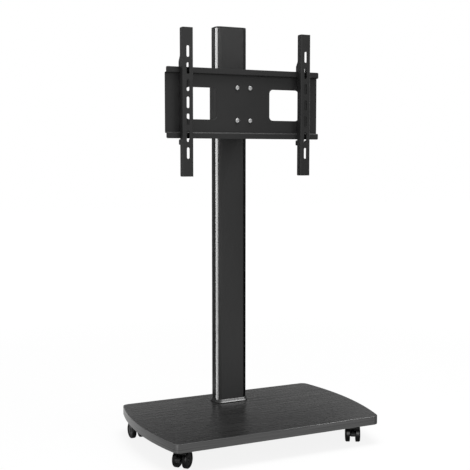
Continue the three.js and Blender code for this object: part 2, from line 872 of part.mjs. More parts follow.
function headAssembly() {
  const webFront = plateRear - plateSheet;
  const bolts = headBoltPlaces.map(([x, z], index) => {
    const head = bar(
      headBoltHeadRadius,
      [x, webFront, z],
      [x, webFront - headBoltHeadHeight, z],
    );
    const shank = bar(headBoltRadius, [x, webFront - touchGap, z], [x, yokeRear + headBoltTail, z]);
    return piece(`head_bolt_${index + 1}`, join(solidOf(head), solidOf(shank)), zincSteel);
  });
  const arms = [-1, 1].flatMap((side) => {
    const name = side < 0 ? "left" : "right";
    const x = (side * armSpacing) / 2;
    return [
      piece(`arm_${name}`, armSolid(x), blackSteel),
      piece(`arm_lock_screw_${name}`, lockScrew(x), blackPlastic),
    ];
  });
  return [piece("cross_plate", crossPlate(), blackSteel), ...bolts, ...arms];
}

// One wheel, its axis along X and its outer face towards +X, centred on the axle.
function wheelSolid() {
  const tread = wheelRadius / Math.cos(Math.PI / roundSides);
  const bore = axleRadius + touchGap;
  const inner = wheelGap / 2;
  const outer = inner + wheelWidth;
  const dish = outer - wheelDish;
  const boreEnd = outer - wheelCapThickness;
  const profile = [
    [0, boreEnd],
    [bore, boreEnd],
    [bore, inner],
    [tread - wheelInnerBevel, inner],
    [tread, inner + wheelInnerBevel],
    [tread, outer - wheelShoulder],
    [tread - wheelShoulder * wheelShoulderShare, outer - wheelShoulder * wheelShoulderShare],
    [tread - wheelShoulder, outer],
    [tread - wheelDishMargin, dish],
    [wheelHubRadius, dish],
    [wheelHubRadius - wheelDish, outer],
    [0, outer],
  ];
  const points = profile.map(([radius, along]) => new THREE.Vector2(radius, along));
  const turned = new THREE.LatheGeometry(points, roundSides, Math.PI / roundSides);
  return solidOf(turned.rotateZ(-Math.PI / 2));
}

// The castor's parts stand in the castor's own frame: the stem is the Z axis, Z is zero at
// the board's underside, the axle lies along X and trails the stem towards +Y.
const axleZ = wheelRadius - castorHeight;
const hoodOuterRadius = wheelRadius + hoodClearance + hoodThickness;
const stemBossTop = -(stemFlangeThickness + touchGap);

function hoodOutline() {
  const degree = Math.PI / 180;
  const outline = new THREE.Shape();
  const from = hoodStartDegrees * degree;
  const to = hoodEndDegrees * degree;
  outline.absarc(castorTrail, axleZ, hoodOuterRadius, from, to);
  outline.absarc(castorTrail, axleZ, hoodOuterRadius - hoodThickness, to, from, true);
  outline.closePath();
  return outline;
}

// The middle of the castor's housing, from the stem boss to the axle boss, in (Y, Z).
function housingWebOutline() {
  const outline = new THREE.Shape();
  const start = hoodStartDegrees * (Math.PI / 180);
  const reach = hoodOuterRadius - hoodThickness / 2;
  outline.moveTo(-stemBossRadius, Math.min(stemBossTop - hoodClearance, axleZ + reach));
  outline.lineTo(-stemBossRadius, -stemFlangeThickness - stemPinLength);
  outline.absarc(castorTrail, axleZ, axleBossRadius, -0.75 * Math.PI, start);
  outline.absarc(castorTrail, axleZ, reach, start, Math.PI / 2);
  outline.closePath();
  return outline;
}

function housingSolid() {
  const webWidth = wheelGap - 2 * housingSideGap;
  const hoodWidth = wheelGap + 2 * (wheelWidth - hoodEdgeSetback);
  const pinEnd = -(stemFlangeThickness + stemPinLength);
  const web = across(housingWebOutline(), webWidth);
  const hood = across(hoodOutline(), hoodWidth);
  const boss = bar(stemBossRadius, [0, 0, pinEnd - stemBossFloor], [0, 0, stemBossTop]);
  const stemBore = bar(
    stemPinRadius + touchGap,
    [0, 0, pinEnd - touchGap],
    [0, 0, stemBossTop + cutOverrun],
  );
  const slot = bar(
    leverHubRadius + leverHubGap + touchGap,
    [-(leverHubThickness / 2 + leverHubGap), castorTrail, axleZ],
    [leverHubThickness / 2 + leverHubGap, castorTrail, axleZ],
    roundSides,
  );
  const axleBore = bar(
    axleRadius + touchGap,
    [-wheelGap, castorTrail, axleZ],
    [wheelGap, castorTrail, axleZ],
  );
  const body = join(solidOf(web), solidOf(hood), solidOf(boss));
  return cut(body, ...[stemBore, slot, axleBore].map(solidOf));
}

// A brake lever: a hub on the axle between the wheels, an arm and a rounded pedal pad.
function leverSolid() {
  const hub = bar(
    leverHubRadius,
    [-leverHubThickness / 2, 0, 0],
    [leverHubThickness / 2, 0, 0],
    roundSides,
  );
  const arm = new THREE.BoxGeometry(leverHubThickness, leverReach, leverArmHeight);
  const pad = new THREE.Shape();
  pad.moveTo(leverPadStart, -leverPadRadius);
  pad.absarc(leverReach, 0, leverPadRadius, -Math.PI / 2, Math.PI / 2);
  pad.lineTo(leverPadStart, leverPadRadius);
  pad.closePath();
  const bore = bar(axleRadius + touchGap, [-wheelGap, 0, 0], [wheelGap, 0, 0]);
  const body = join(
    solidOf(hub),
    solidOf(arm.translate(0, leverReach / 2, 0)),
    solidOf(across(pad, leverPadWidth)),
  );
  return cut(body, solidOf(bore))
    .rotate([leverLiftDegrees, 0, 0])
    .translate([0, castorTrail, axleZ]);
}

function castor(name, degrees) {
  const group = new THREE.Group();
  const [x, y] = castorPlaces[name];
  group.position.set(x, y, boardBottom);
  group.rotation.z = degrees * (Math.PI / 180);
  const axleHalf = wheelGap / 2 + wheelWidth - wheelCapThickness - touchGap;
  const axle = bar(axleRadius, [-axleHalf, castorTrail, axleZ], [axleHalf, castorTrail, axleZ]);
  const wheelAt = [0, castorTrail, axleZ];
  const wheel = wheelSolid();
  group.add(
    piece(`castor_${name}_housing`, housingSolid(), blackPlastic),
    piece(`castor_${name}_axle`, axle, zincSteel),
    piece(`castor_${name}_wheel_a`, wheel.translate(wheelAt), blackTyre),
    piece(`castor_${name}_wheel_b`, wheel.rotate([0, 0, 180]).translate(wheelAt), blackTyre),
    piece(`castor_${name}_brake_lever`, leverSolid(), blackPlastic),
  );
  return group;
}

function castorStem(name) {
  const [x, y] = castorPlaces[name];
  const flangeBottom = boardBottom - stemFlangeThickness;
  const flange = bar(stemFlangeRadius, [x, y, flangeBottom], [x, y, boardBottom]);
  const thread = bar(
    stemRadius,
    [x, y, boardBottom - touchGap],
    [x, y, boardBottom + stemThreadLength],
  );
  const pin = bar(
    stemPinRadius,
    [x, y, flangeBottom - stemPinLength],
    [x, y, flangeBottom + touchGap],
  );
  return piece(`castor_${name}_stem`, join(...[flange, thread, pin].map(solidOf)), zincSteel);
}

const stand = new THREE.Group();
stand.add(
  ...baseAssembly(),
  ...columnAssembly(),
  ...sleeveAssembly(),
  ...tiltAssembly(),
  ...headAssembly(),
);
for (const [name, degrees] of Object.entries(castorAngles)) {
  stand.add(castorStem(name), castor(name, degrees));
}

export default stand;
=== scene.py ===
"""Looks of a mobile TV stand: board, column, clamped carriage, tilting head and castors.

Every length is in metres and every angle in degrees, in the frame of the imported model: +X to the
right, +Y to the rear and +Z up, with the origin on the floor under the board. The classes list
those of their values that need more words than their names.
"""

import json
import logging
import math
from collections.abc import Callable, Iterable, Sequence
from dataclasses import dataclass
from enum import Enum
from typing import Any, ClassVar

import bmesh
import bpy
from mathutils import Matrix, Vector, geometry


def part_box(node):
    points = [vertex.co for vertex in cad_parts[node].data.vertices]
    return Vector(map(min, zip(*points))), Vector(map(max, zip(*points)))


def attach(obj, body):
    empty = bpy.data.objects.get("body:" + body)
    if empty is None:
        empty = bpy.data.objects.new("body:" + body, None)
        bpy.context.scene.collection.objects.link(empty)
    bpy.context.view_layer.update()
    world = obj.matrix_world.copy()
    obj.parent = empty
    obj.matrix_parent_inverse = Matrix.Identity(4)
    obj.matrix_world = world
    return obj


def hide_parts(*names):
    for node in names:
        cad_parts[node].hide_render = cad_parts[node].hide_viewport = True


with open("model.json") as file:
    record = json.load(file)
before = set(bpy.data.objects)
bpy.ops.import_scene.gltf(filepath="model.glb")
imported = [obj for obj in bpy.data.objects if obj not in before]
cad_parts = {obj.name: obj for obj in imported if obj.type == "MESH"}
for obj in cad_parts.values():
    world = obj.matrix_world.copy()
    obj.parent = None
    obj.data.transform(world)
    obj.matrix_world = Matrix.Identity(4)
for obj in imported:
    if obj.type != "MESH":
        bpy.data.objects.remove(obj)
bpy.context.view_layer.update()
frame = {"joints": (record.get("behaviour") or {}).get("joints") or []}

log = logging.getLogger("stand")

Point = tuple[float, float]
Colour = tuple[float, float, float, float]
Loop = list[Point]
Wave = Callable[[float, float, float], float]

MM = 0.001
RIGHTWARD = Vector((1, 0, 0))
REARWARD = Vector((0, 1, 0))
UPWARD = Vector((0, 0, 1))
NOWHERE = Matrix.Identity(4)
QUARTER = math.pi / 2
SIXTH = math.pi / 3
LAMP_POWER = 4
SAME_PLACE = 1e-7
RINGS_PER_TURN = 6


class Slot(str, Enum):
    """The record's material slots, one for each finish."""

    WOOD = "black_woodgrain"
    EDGING = "charcoal_edging"
    ALUMINIUM = "black_aluminium"
    STEEL = "black_steel"
    PLASTIC = "black_plastic"
    NYLON = "black_nylon_wheel"
    ZINC = "zinc_steel"


class Corner(str, Enum):
    """The places of the four castors under the board."""

    FRONT_LEFT = "front_left"
    FRONT_RIGHT = "front_right"
    REAR_LEFT = "rear_left"
    REAR_RIGHT = "rear_right"


class Side(Enum):
    """Left or right of the column, as the sign of X."""

    LEFT = -1
    RIGHT = 1


class HeadForm(Enum):
    """The form of a screw's head."""

    RECESSED_DOME = 0
    HEXAGON = 1


@dataclass(frozen=True)
class Box:
    """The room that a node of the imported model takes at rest."""

    low: Vector
    high: Vector

    @classmethod
    def of(cls, node: str) -> "Box":
        """Reads the box of a node."""
        return cls(*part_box(node))

    @property
    def size(self) -> Vector:
        """Width, depth and height."""
        return self.high - self.low

    @property
    def middle(self) -> Vector:
        """The centre of the box."""
        return (self.low + self.high) / 2


def joint(name: str) -> dict[str, Any]:
    """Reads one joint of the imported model."""
    return next(entry for entry in frame["joints"] if entry["name"] == name)


def mirrored(loop: Loop) -> Loop:
    """Gives the points of a loop on the other side of X zero, in the opposite order."""
    return [(-x, y) for x, y in reversed(loop)]


def arc(centre: Point, radius: float, start: float, end: float, steps: int = 6) -> Loop:
    """Gives the points of a round stretch from one angle to another, one more than its chords."""
    turns = (math.radians(start + (end - start) * i / steps) for i in range(steps + 1))
    return [(centre[0] + radius * math.cos(t), centre[1] + radius * math.sin(t)) for t in turns]


def circle(centre: Point, radius: float, sides: int = 24) -> Loop:
    """Gives a full circle as a closed loop of that many points."""
    return arc(centre, radius, 0, 360, sides)[:-1]


def rounded_rectangle(size: Point, radius: float, centre: Point = (0, 0), steps: int = 6) -> Loop:
    """Gives a rectangle with round corners.

    Args:
        size: Width and height.
        radius: Radius of the corners.
        centre: Middle of the rectangle.
        steps: Number of chords in each corner.

    Returns:
        The closed loop, counter-clockwise.
    """
    x, y = size[0] / 2 - radius, size[1] / 2 - radius
    corners = ((x, -y, -90), (x, y, 0), (-x, y, 90), (-x, -y, 180))
    return [
        point
        for dx, dy, turn in corners
        for point in arc((centre[0] + dx, centre[1] + dy), radius, turn, turn + 90, steps)
    ]


def upright_slot(centre: Point, radius: float, length: float) -> Loop:
    """Gives a slot with round ends, its long way along the second axis.

    Args:
        centre: Middle of the slot.
        radius: Half of the slot's width.
        length: Length over the round ends.

    Returns:
        The closed loop, counter-clockwise.
    """
    reach = length / 2 - radius
    top = arc((centre[0], centre[1] + reach), radius, 0, 180, 8)
    return top + arc((centre[0], centre[1] - reach), radius, 180, 360, 8)


def filleted(corners: Sequence[Point], radii: float | Sequence[float], steps: int = 4) -> Loop:
    """Rounds the corners of a closed polygon.

    Args:
        corners: The sharp corners, in order.
        radii: One radius for all corners, or one for each.
        steps: Number of chords in each rounded corner.

    Returns:
        The closed loop. A radius shrinks where its sides are too short for it.
    """
    count = len(corners)
    wanted = [radii] * count if isinstance(radii, (int, float)) else list(radii)
    room_share = 0.48
    loop: Loop = []
    for i, corner in enumerate(corners):
        here = Vector(corner)
        back = Vector(corners[i - 1]) - here
        ahead = Vector(corners[(i + 1) % count]) - here
        half = back.angle(ahead) / 2
        cut = min(wanted[i] / math.tan(half), room_share * back.length, room_share * ahead.length)
        if cut <= 0:
            loop.append(corner)
            continue
        radius = cut * math.tan(half)
        inward = (back.normalized() + ahead.normalized()).normalized()
        middle = here + inward * radius / math.sin(half)
        first = here + back.normalized() * cut - middle
        last = here + ahead.normalized() * cut - middle
        start = math.degrees(math.atan2(first.y, first.x))
        sweep = math.degrees(math.atan2(last.y, last.x)) - start
        sweep = (sweep + 180) % 360 - 180
        loop += arc(middle[:], radius, start, start + sweep, steps)
    return loop


def grown(loop: Loop, distance: float) -> Loop:
    """Moves a closed counter-clockwise loop outwards.

    Args:
        loop: The loop.
        distance: How far its sides move, inwards if it is negative.

    Returns:
        The new loop, point for point.
    """
    sharpest = 0.2
    moved: Loop = []
    for i, point in enumerate(loop):
        before = Vector(point) - Vector(loop[i - 1])
        after = Vector(loop[(i + 1) % len(loop)]) - Vector(point)
        first = Vector((before.y, -before.x)).normalized()
        second = Vector((after.y, -after.x)).normalized()
        outward = (first + second).normalized()
        reach = distance / max(outward.dot(first), sharpest)
        moved.append((point[0] + outward.x * reach, point[1] + outward.y * reach))
    return moved


def counterclockwise(loop: Iterable[Point]) -> Loop:
    """Turns a closed loop round where it runs clockwise.

    Args:
        loop: The loop.

    Returns:
        The same points, counter-clockwise.
    """
    points = list(loop)
    area = sum(a[0] * b[1] - b[0] * a[1] for a, b in zip(points, points[1:] + points[:1]))
    return points if area > 0 else points[::-1]


def placed(first: Vector, second: Vector, third: Vector, origin: Sequence[float] = (0, 0, 0)) -> Matrix:
    """Gives the matrix that lays local X, Y and Z along three directions, from an origin."""
    turn = Matrix((first, second, third)).transposed().to_4x4()
    return Matrix.Translation(Vector(origin)) @ turn


def along(direction: Vector, origin: Sequence[float]) -> Matrix:
    """Gives the matrix that points local Z along a direction.

    Args:
        direction: Where the local Z axis points.
        origin: Where the local origin goes.

    Returns:
        The matrix from local points to the frame.
    """
    side = REARWARD if abs(direction.dot(REARWARD)) < abs(direction.dot(UPWARD)) else UPWARD
    first = side.cross(direction).normalized()
    return placed(first, direction.cross(first), direction, origin)


def hexagonal(spread: float, chamfer: float, top: float) -> Wave:
    """Gives the wave that turns a round bar into a hexagon with a chamfered top.

    Args:
        spread: Distance from the middle to a corner.
        chamfer: Height that the chamfer takes at the corners.
        top: Height of the top face.

    Returns:
        A function of angle, radius and height that gives the new radius.
    """
    flat = spread * math.cos(SIXTH / 2)
    untouched = flat * 0.9

    def wave(angle: float, radius: float, height: float) -> float:
        """Keeps a radius inside the hexagon and its chamfer."""
        turn = (angle + SIXTH / 2) % SIXTH - SIXTH / 2
        rise = min(1, max(0, (top - height) / chamfer))
        cone = flat + (spread - flat) * rise
        return min(radius, flat / math.cos(turn), cone) if radius > untouched else radius

    return wave


def threaded(pitch: float, depth: float, start: float, end: float) -> Wave:
    """Gives the wave that cuts a screw thread between two heights.

    Args:
        pitch: Height of one turn.
        depth: Depth of the groove.
        start: Where the thread begins.
        end: Where it ends.

    Returns:
        A function of angle, radius and height that gives the new radius.
    """

    def wave(angle: float, radius: float, height: float) -> float:
        """Sinks a radius into the groove."""
        if not start <= height <= end:
            return radius
        turn = (height / pitch - angle / math.tau) % 1
        return radius - depth * (1 - abs(2 * turn - 1))

    return wave


def eased(edge: float, heights: Point, steps: int) -> Loop:
    """Gives the rings that round both edges of a plate.

    Args:
        edge: Radius of the edges.
        heights: Heights of the two faces.
        steps: Number of chords in each edge.

    Returns:
        The inset and the height of each ring, from the lower face to the upper one.
    """
    low, high = heights
    turns = [QUARTER * i / steps for i in range(steps + 1)]
    lower = [(edge * (1 - math.sin(t)), low + edge * (1 - math.cos(t))) for t in turns]
    return lower + [(inset, low + high - z) for inset, z in reversed(lower)]


def raised(loop: Iterable[Point], height: float) -> list[Vector]:
    """Gives the points of a loop at a height."""
    return [Vector((*point, height)) for point in loop]


class Solid:
    """Collects the closed skins of one piece, made of rings, rounded plates and turned profiles."""

    def __init__(self) -> None:
        """Starts with an empty mesh."""
        self.mesh = bmesh.new()

    def skin(self, rings: Sequence[Sequence[Vector]], looped: bool = False, capped: bool = True) -> list:
        """Skins rings of equal counts.

        Args:
            rings: The rings of points, in order.
            looped: Whether the last ring joins the first.
            capped: Whether the two end rings are filled.

        Returns:
            The rings as rows of new vertices.
        """
        rows = [[self.mesh.verts.new(point) for point in ring] for ring in rings]
        pairs = list(zip(rows, rows[1:]))
        if looped:
            pairs.append((rows[-1], rows[0]))
        for low, high in pairs:
            for i in range(len(low)):
                j = (i + 1) % len(low)
                self.mesh.faces.new((low[i], low[j], high[j], high[i]))
        if capped and not looped:
            self.mesh.faces.new(rows[0][::-1])
            self.mesh.faces.new(rows[-1])
        return rows

    def plate(
        self,
        outline: Iterable[Point],
        heights: Point,
        edge: float,
        holes: Iterable[Loop] = (),
        place: Matrix = NOWHERE,
        steps: int = 3,
    ) -> "Solid":
        """Adds a flat plate with rounded edges, its faces square to local Z.

        Args:
            outline: The closed outline.
            heights: Local heights of the two faces.
            edge: Radius of the rounded edges.
            holes: Closed outlines of the holes.
            place: From local points to the frame.
            steps: Number of chords in a rounded edge.

        Returns:
            The same solid.
        """
        levels = eased(edge, heights, steps)
        ends: tuple[list, list] = ([], [])
        loops = [counterclockwise(outline), *(counterclockwise(hole) for hole in holes)]
        for index, loop in enumerate(loops):
            sign = 1 if index else -1
            rings = [[place @ p for p in raised(grown(loop, sign * inset), z)] for inset, z in levels]
            rows = self.skin(rings, capped=False)
            ends[0].append(rows[0])
            ends[1].append(rows[-1])
        for rows in ends:
            flat = [vertex for row in rows for vertex in row]
            for face in geometry.tessellate_polygon([[v.co for v in row] for row in rows]):
                self.mesh.faces.new([flat[i] for i in face])
        return self

    def turned(
        self,
        profile: Sequence[Point],
        place: Matrix = NOWHERE,
        sides: int = 32,
        wave: Wave | None = None,
        looped: bool = False,
    ) -> "Solid":
        """Turns a profile about local Z.

        Args:
            profile: Points of radius and height. A point on the axis at an end is closed flat.
            place: From local points to the frame.
            sides: Number of sides.
            wave: Changes the radius by angle, radius and height.
            looped: Whether the profile closes on itself, as a ring does.

        Returns:
            The same solid.
        """
        rings = []
        for radius, height in profile:
            if radius <= 0:
                continue
            ring = []
            for i in range(sides):
                angle = math.tau * i / sides
                reach = wave(angle, radius, height) if wave else radius
                spot = Vector((reach * math.cos(angle), reach * math.sin(angle), height))
                ring.append(place @ spot)
            rings.append(ring)
        self.skin(rings, looped=looped, capped=not looped)
        return self

    def reshape(self, move: Callable[[Vector], Vector]) -> None:
        """Moves every vertex so far to where move says."""
        for vertex in self.mesh.verts:
            vertex.co = move(vertex.co)

    def slice(self, axis: int, places: Iterable[float]) -> None:
        """Cuts extra edges across the faces, so that they can bend.

        Args:
            axis: Index of the axis that the cuts are square to.
            places: Where the cuts lie on that axis.
        """
        normal = Vector([float(i == axis) for i in range(3)])
        for at in places:
            everything = [*self.mesh.verts, *self.mesh.edges, *self.mesh.faces]
            bmesh.ops.bisect_plane(
                self.mesh, geom=everything, dist=SAME_PLACE, plane_co=normal * at, plane_no=normal
            )

    def to_mesh(self, name: str, smooth_below: float = 32) -> bpy.types.Mesh:
        """Ends the piece as a mesh with smooth round stretches and crisp edges.

        Args:
            name: Name of the mesh.
            smooth_below: Edges that turn by more than this stay sharp.

        Returns:
            The new mesh.
        """
        bmesh.ops.remove_doubles(self.mesh, verts=self.mesh.verts, dist=SAME_PLACE)
        bmesh.ops.recalc_face_normals(self.mesh, faces=self.mesh.faces)
        for face in self.mesh.faces:
            face.smooth = True
        mesh = bpy.data.meshes.new(name)
        self.mesh.to_mesh(mesh)
        self.mesh.free()
        mesh.set_sharp_from_angle(angle=math.radians(smooth_below))
        return mesh


@dataclass(frozen=True)
class FoldedSheet:
    """A sheet folded alike on both sides of its middle.

    Attributes:
        legs: Distances between the mid-planes that each flat stretch joins, from the middle out.
        turns: The fold after each flat stretch but the last, positive towards local +Z.
    """

    thickness: float
    inner_radius: float
    legs: tuple[float, ...]
    turns: tuple[float, ...]
    steps: int = 5

    @property
    def fibre(self) -> float:
        """Radius of the sheet's mid-plane in a fold."""
        return self.inner_radius + self.thickness / 2

    def straights(self) -> list[float]:
        """Gives the flat stretches between the folds."""
        last = len(self.legs) - 1
        return [
            leg - self.fibre * (1 if index in (0, last) else 2) for index, leg in enumerate(self.legs)
        ]

    def unfolded(self, leg: int, distance: float) -> float:
        """Gives where a point lies on the flat blank.

        Args:
            leg: Index of the flat stretch, 0 for the middle one.
            distance: How far the point is from the mid-plane that the stretch leaves.

        Returns:
            The distance from the blank's middle line.
        """
        if leg == 0:
            return distance
        passed = sum(self.straights()[:leg])
        folds = sum(math.radians(abs(turn)) * self.fibre for turn in self.turns[:leg])
        return passed + folds + distance - self.fibre

    def cuts(self) -> list[float]:
        """Gives the places on the blank where a fold needs an edge.

        Returns:
            Distances from the blank's middle line, on both sides.
        """
        places, reach = [], 0.0
        for straight, turn in zip(self.straights(), self.turns):
            reach += straight
            length = math.radians(abs(turn)) * self.fibre
            places += [reach + length * i / self.steps for i in range(self.steps + 1)]
            reach += length
        return places + [-place for place in places]

    def fold(self, point: Vector) -> Vector:
        """Moves a point of the flat blank to where it lies on the folded sheet.

        Args:
            point: The point, with X across the folds and Z through the sheet.

        Returns:
            The moved point.
        """
        left = abs(point.x)
        side = math.copysign(1, point.x)
        heading, x, z = 0.0, 0.0, 0.0
        for index, straight in enumerate(self.straights()):
            last = index == len(self.legs) - 1
            step = left if last else min(left, straight)
            x += step * math.cos(heading)
            z += step * math.sin(heading)
            left -= step
            if last or left <= 0:
                break
            turn = math.radians(self.turns[index])
            swept = min(left, abs(turn) * self.fibre) / self.fibre
            after = heading + math.copysign(swept, turn)
            lever = math.copysign(self.fibre, turn)
            x += lever * (math.sin(after) - math.sin(heading))
            z -= lever * (math.cos(after) - math.cos(heading))
            heading = after
            left -= swept * self.fibre
        x -= point.z * math.sin(heading)
        z += point.z * math.cos(heading)
        return Vector((side * x, point.y, z))

    def form(
        self,
        outline: Iterable[Point],
        holes: Iterable[Loop],
        edge: float,
        place: Matrix,
        within: Point = (-math.inf, math.inf),
    ) -> Solid:
        """Cuts the blank, folds it and puts it in place.

        Args:
            outline: The blank's outline, across the folds and along them.
            holes: The holes in the blank.
            edge: Radius of the sheet's broken edges.
            place: From the folded sheet's own axes to the frame.
            within: The stretch along the folds that folds. The rest stays flat.

        Returns:
            The folded solid.
        """
        half = self.thickness / 2
        solid = Solid().plate(outline, (-half, half), edge, holes, steps=2)
        solid.slice(0, self.cuts())
        solid.reshape(lambda p: place @ (self.fold(p) if within[0] < p.y < within[1] else p.copy()))
        return solid


class Graph:
    """Adds nodes to a shader tree and joins them."""

    def __init__(self, tree: bpy.types.NodeTree) -> None:
        """Takes the tree that the nodes go into."""
        self.tree = tree

    @classmethod
    def of(cls, owner: bpy.types.Material | bpy.types.World) -> "Graph":
        """Empties the tree of a material or a world.

        Args:
            owner: What the tree belongs to.

        Returns:
            The graph of the empty tree.
        """
        owner.use_nodes = True
        owner.node_tree.nodes.clear()
        return cls(owner.node_tree)

    def add(self, kind: str, inputs: dict[str | int, Any] | None = None, **settings: Any) -> bpy.types.Node:
        """Adds one node.

        Args:
            kind: The node's type.
            inputs: Values or sockets for its inputs, by name or index.
            settings: Properties of the node.

        Returns:
            The new node.
        """
        node = self.tree.nodes.new(kind)
        for name, value in settings.items():
            setattr(node, name, value)
        for name, value in (inputs or {}).items():
            if isinstance(value, bpy.types.NodeSocket):
                self.tree.links.new(value, node.inputs[name])
            else:
                node.inputs[name].default_value = value
        return node

    def math(self, operation: str, first: Any, second: Any = 0.0, clamp: bool = False) -> Any:
        """Adds a Math node and gives its result."""
        node = self.add("ShaderNodeMath", {0: first, 1: second}, operation=operation, use_clamp=clamp)
        return node.outputs[0]

    def sum(self, *parts: tuple[Any, float]) -> Any:
        """Adds up values, each times its own weight.

        Args:
            parts: The values with their weights.

        Returns:
            The sum.
        """
        total, *rest = (self.math("MULTIPLY", value, weight) for value, weight in parts)
        for term in rest:
            total = self.math("ADD", total, term)
        return total

    def vectors(self, operation: str, inputs: dict[str | int, Any]) -> Any:
        """Adds a Vector Math node and gives its outputs."""
        return self.add("ShaderNodeVectorMath", inputs, operation=operation).outputs

    def spread(self, value: Any, low: float, high: float, to_low: float = 0, to_high: float = 1) -> Any:
        """Maps a value from one range to another and gives the result, clamped."""
        node = self.add(
            "ShaderNodeMapRange",
            {"Value": value, "From Min": low, "From Max": high, "To Min": to_low, "To Max": to_high},
        )
        return node.outputs["Result"]

    def blend(self, mask: Any, first: Any, second: Any) -> Any:
        """Mixes two colours by a mask and gives the result."""
        node = self.add("ShaderNodeMix", {0: mask, 6: first, 7: second}, data_type="RGBA")
        return node.outputs[2]

    def noise(self, vector: Any, scale: float, detail: float = 2, roughness: float = 0.5) -> Any:
        """Adds a noise texture and gives its value."""
        inputs = {"Vector": vector, "Scale": scale, "Detail": detail, "Roughness": roughness}
        return self.add("ShaderNodeTexNoise", inputs).outputs["Fac"]

    def place(self) -> Any:
        """Gives the point on the piece in its own space."""
        return self.add("ShaderNodeTexCoord").outputs["Object"]


class Effect:
    """A shader node group with named inputs and one output, which several finishes share."""

    def __init__(self, name: str, inputs: dict[str, Any], output: str) -> None:
        """Makes the group, whose first input is the point on the piece.

        Args:
            name: Name of the group.
            inputs: Value of each further input, a number or a vector.
            output: Name of the output.
        """
        self.tree = bpy.data.node_groups.new(name, "ShaderNodeTree")
        for label, value in {"Vector": (0.0, 0.0, 0.0), **inputs}.items():
            kind = "NodeSocketVector" if isinstance(value, tuple) else "NodeSocketFloat"
            socket = self.tree.interface.new_socket(label, in_out="INPUT", socket_type=kind)
            socket.default_value = value
        self.tree.interface.new_socket(output, in_out="OUTPUT", socket_type="NodeSocketFloat")
        self.graph = Graph(self.tree)
        self.entry = self.tree.nodes.new("NodeGroupInput").outputs
        self.exit = self.tree.nodes.new("NodeGroupOutput").inputs

    def give(self, value: Any) -> None:
        """Joins a value to the group's output."""
        self.tree.links.new(value, self.exit[0])

    def use(self, graph: Graph, **inputs: Any) -> Any:
        """Places the group in a finish with its own values and gives its output."""
        return graph.add("ShaderNodeGroup", inputs, node_tree=self.tree).outputs[0]


def streak_effect() -> Effect:
    """Makes long wavering streaks, as of wood grain or of a drawn profile.

    Returns:
        The group, which puts out a value from 0 to 1.
    """
    inputs = {"Stretch": (1.0, 10.0, 10.0), "Waver": 0.0, "Detail": 2.0}
    effect = Effect("long_streaks", inputs, "Value")
    graph, entry = effect.graph, effect.entry
    drift = graph.add("ShaderNodeTexNoise", {"Vector": entry["Vector"], "Scale": 7.0, "Detail": 1.0})
    push = graph.vectors("SCALE", {0: drift.outputs["Color"], "Scale": entry["Waver"]})
    shifted = graph.vectors("ADD", {0: entry["Vector"], 1: push[0]})
    drawn = graph.vectors("MULTIPLY", {0: shifted[0], 1: entry["Stretch"]})
    effect.give(graph.noise(drawn[0], 1.0, entry["Detail"], 0.55))
    return effect


def wear_effect() -> Effect:
    """Makes rubbed outer edges, broken up by a fine noise.

    Returns:
        The group, which puts out a mask.
    """
    level, rubbed = 0.985, 0.86
    effect = Effect("rubbed_edges", {"Radius": 0.8 * MM, "Amount": 0.5}, "Mask")
    graph, entry = effect.graph, effect.entry
    rounded = graph.add("ShaderNodeBevel", {"Radius": entry["Radius"]}, samples=4)
    true_normal = graph.add("ShaderNodeNewGeometry").outputs["True Normal"]
    facing = graph.vectors("DOT_PRODUCT", {0: rounded.outputs[0], 1: true_normal})
    edge = graph.spread(facing["Value"], level, rubbed)
    patches = graph.spread(graph.noise(entry["Vector"], 90.0, 3), 0.42, 0.72)
    worn = graph.math("MULTIPLY", edge, patches)
    effect.give(graph.math("MULTIPLY", worn, entry["Amount"], clamp=True))
    return effect


def speckle_effect() -> Effect:
    """Makes a fine pebbled skin, as of powder coat or of moulded plastic.

    Returns:
        The group, which puts out a height.
    """
    effect = Effect("pebbled_skin", {"Scale": 900.0, "Softness": 0.5}, "Height")
    graph, entry = effect.graph, effect.entry
    cells = graph.add(
        "ShaderNodeTexVoronoi",
        {"Vector": entry["Vector"], "Scale": entry["Scale"], "Smoothness": 1.0},
        feature="SMOOTH_F1",
    )
    cloud = graph.noise(entry["Vector"], entry["Scale"])
    mixed = graph.add("ShaderNodeMix", {0: entry["Softness"], 2: cells.outputs["Distance"], 3: cloud})
    effect.give(mixed.outputs[0])
    return effect


def dust_effect() -> Effect:
    """Makes thin dust on what faces up, in soft patches.

    Returns:
        The group, which puts out a mask.
    """
    effect = Effect("settled_dust", {"Amount": 0.1}, "Mask")
    graph, entry = effect.graph, effect.entry
    normal = graph.add("ShaderNodeNewGeometry").outputs["Normal"]
    lift = graph.add("ShaderNodeSeparateXYZ", {0: normal}).outputs["Z"]
    facing = graph.spread(lift, 0.5, 0.95)
    patches = graph.spread(graph.noise(entry["Vector"], 14.0, 5, 0.6), 0.35, 0.75)
    fine = graph.spread(graph.noise(entry["Vector"], 700.0, 2), 0.4, 0.7)
    film = graph.math("MULTIPLY", graph.math("MULTIPLY", patches, fine), facing)
    effect.give(graph.math("MULTIPLY", film, entry["Amount"], clamp=True))
    return effect


class Effects:
    """The shared shader groups, each made once."""

    def __init__(self) -> None:
        """Makes the four groups."""
        self.streaks = streak_effect()
        self.wear = wear_effect()
        self.speckle = speckle_effect()
        self.dust = dust_effect()


def grey(value: float, warmth: float = 0.0) -> Colour:
    """Gives a linear grey, a little warmer or cooler."""
    return value * (1 + warmth), value, value * (1 - warmth), 1.0


DUST_GREY: Colour = (0.19, 0.188, 0.182, 1)
DUST_ROUGHNESS = 0.4


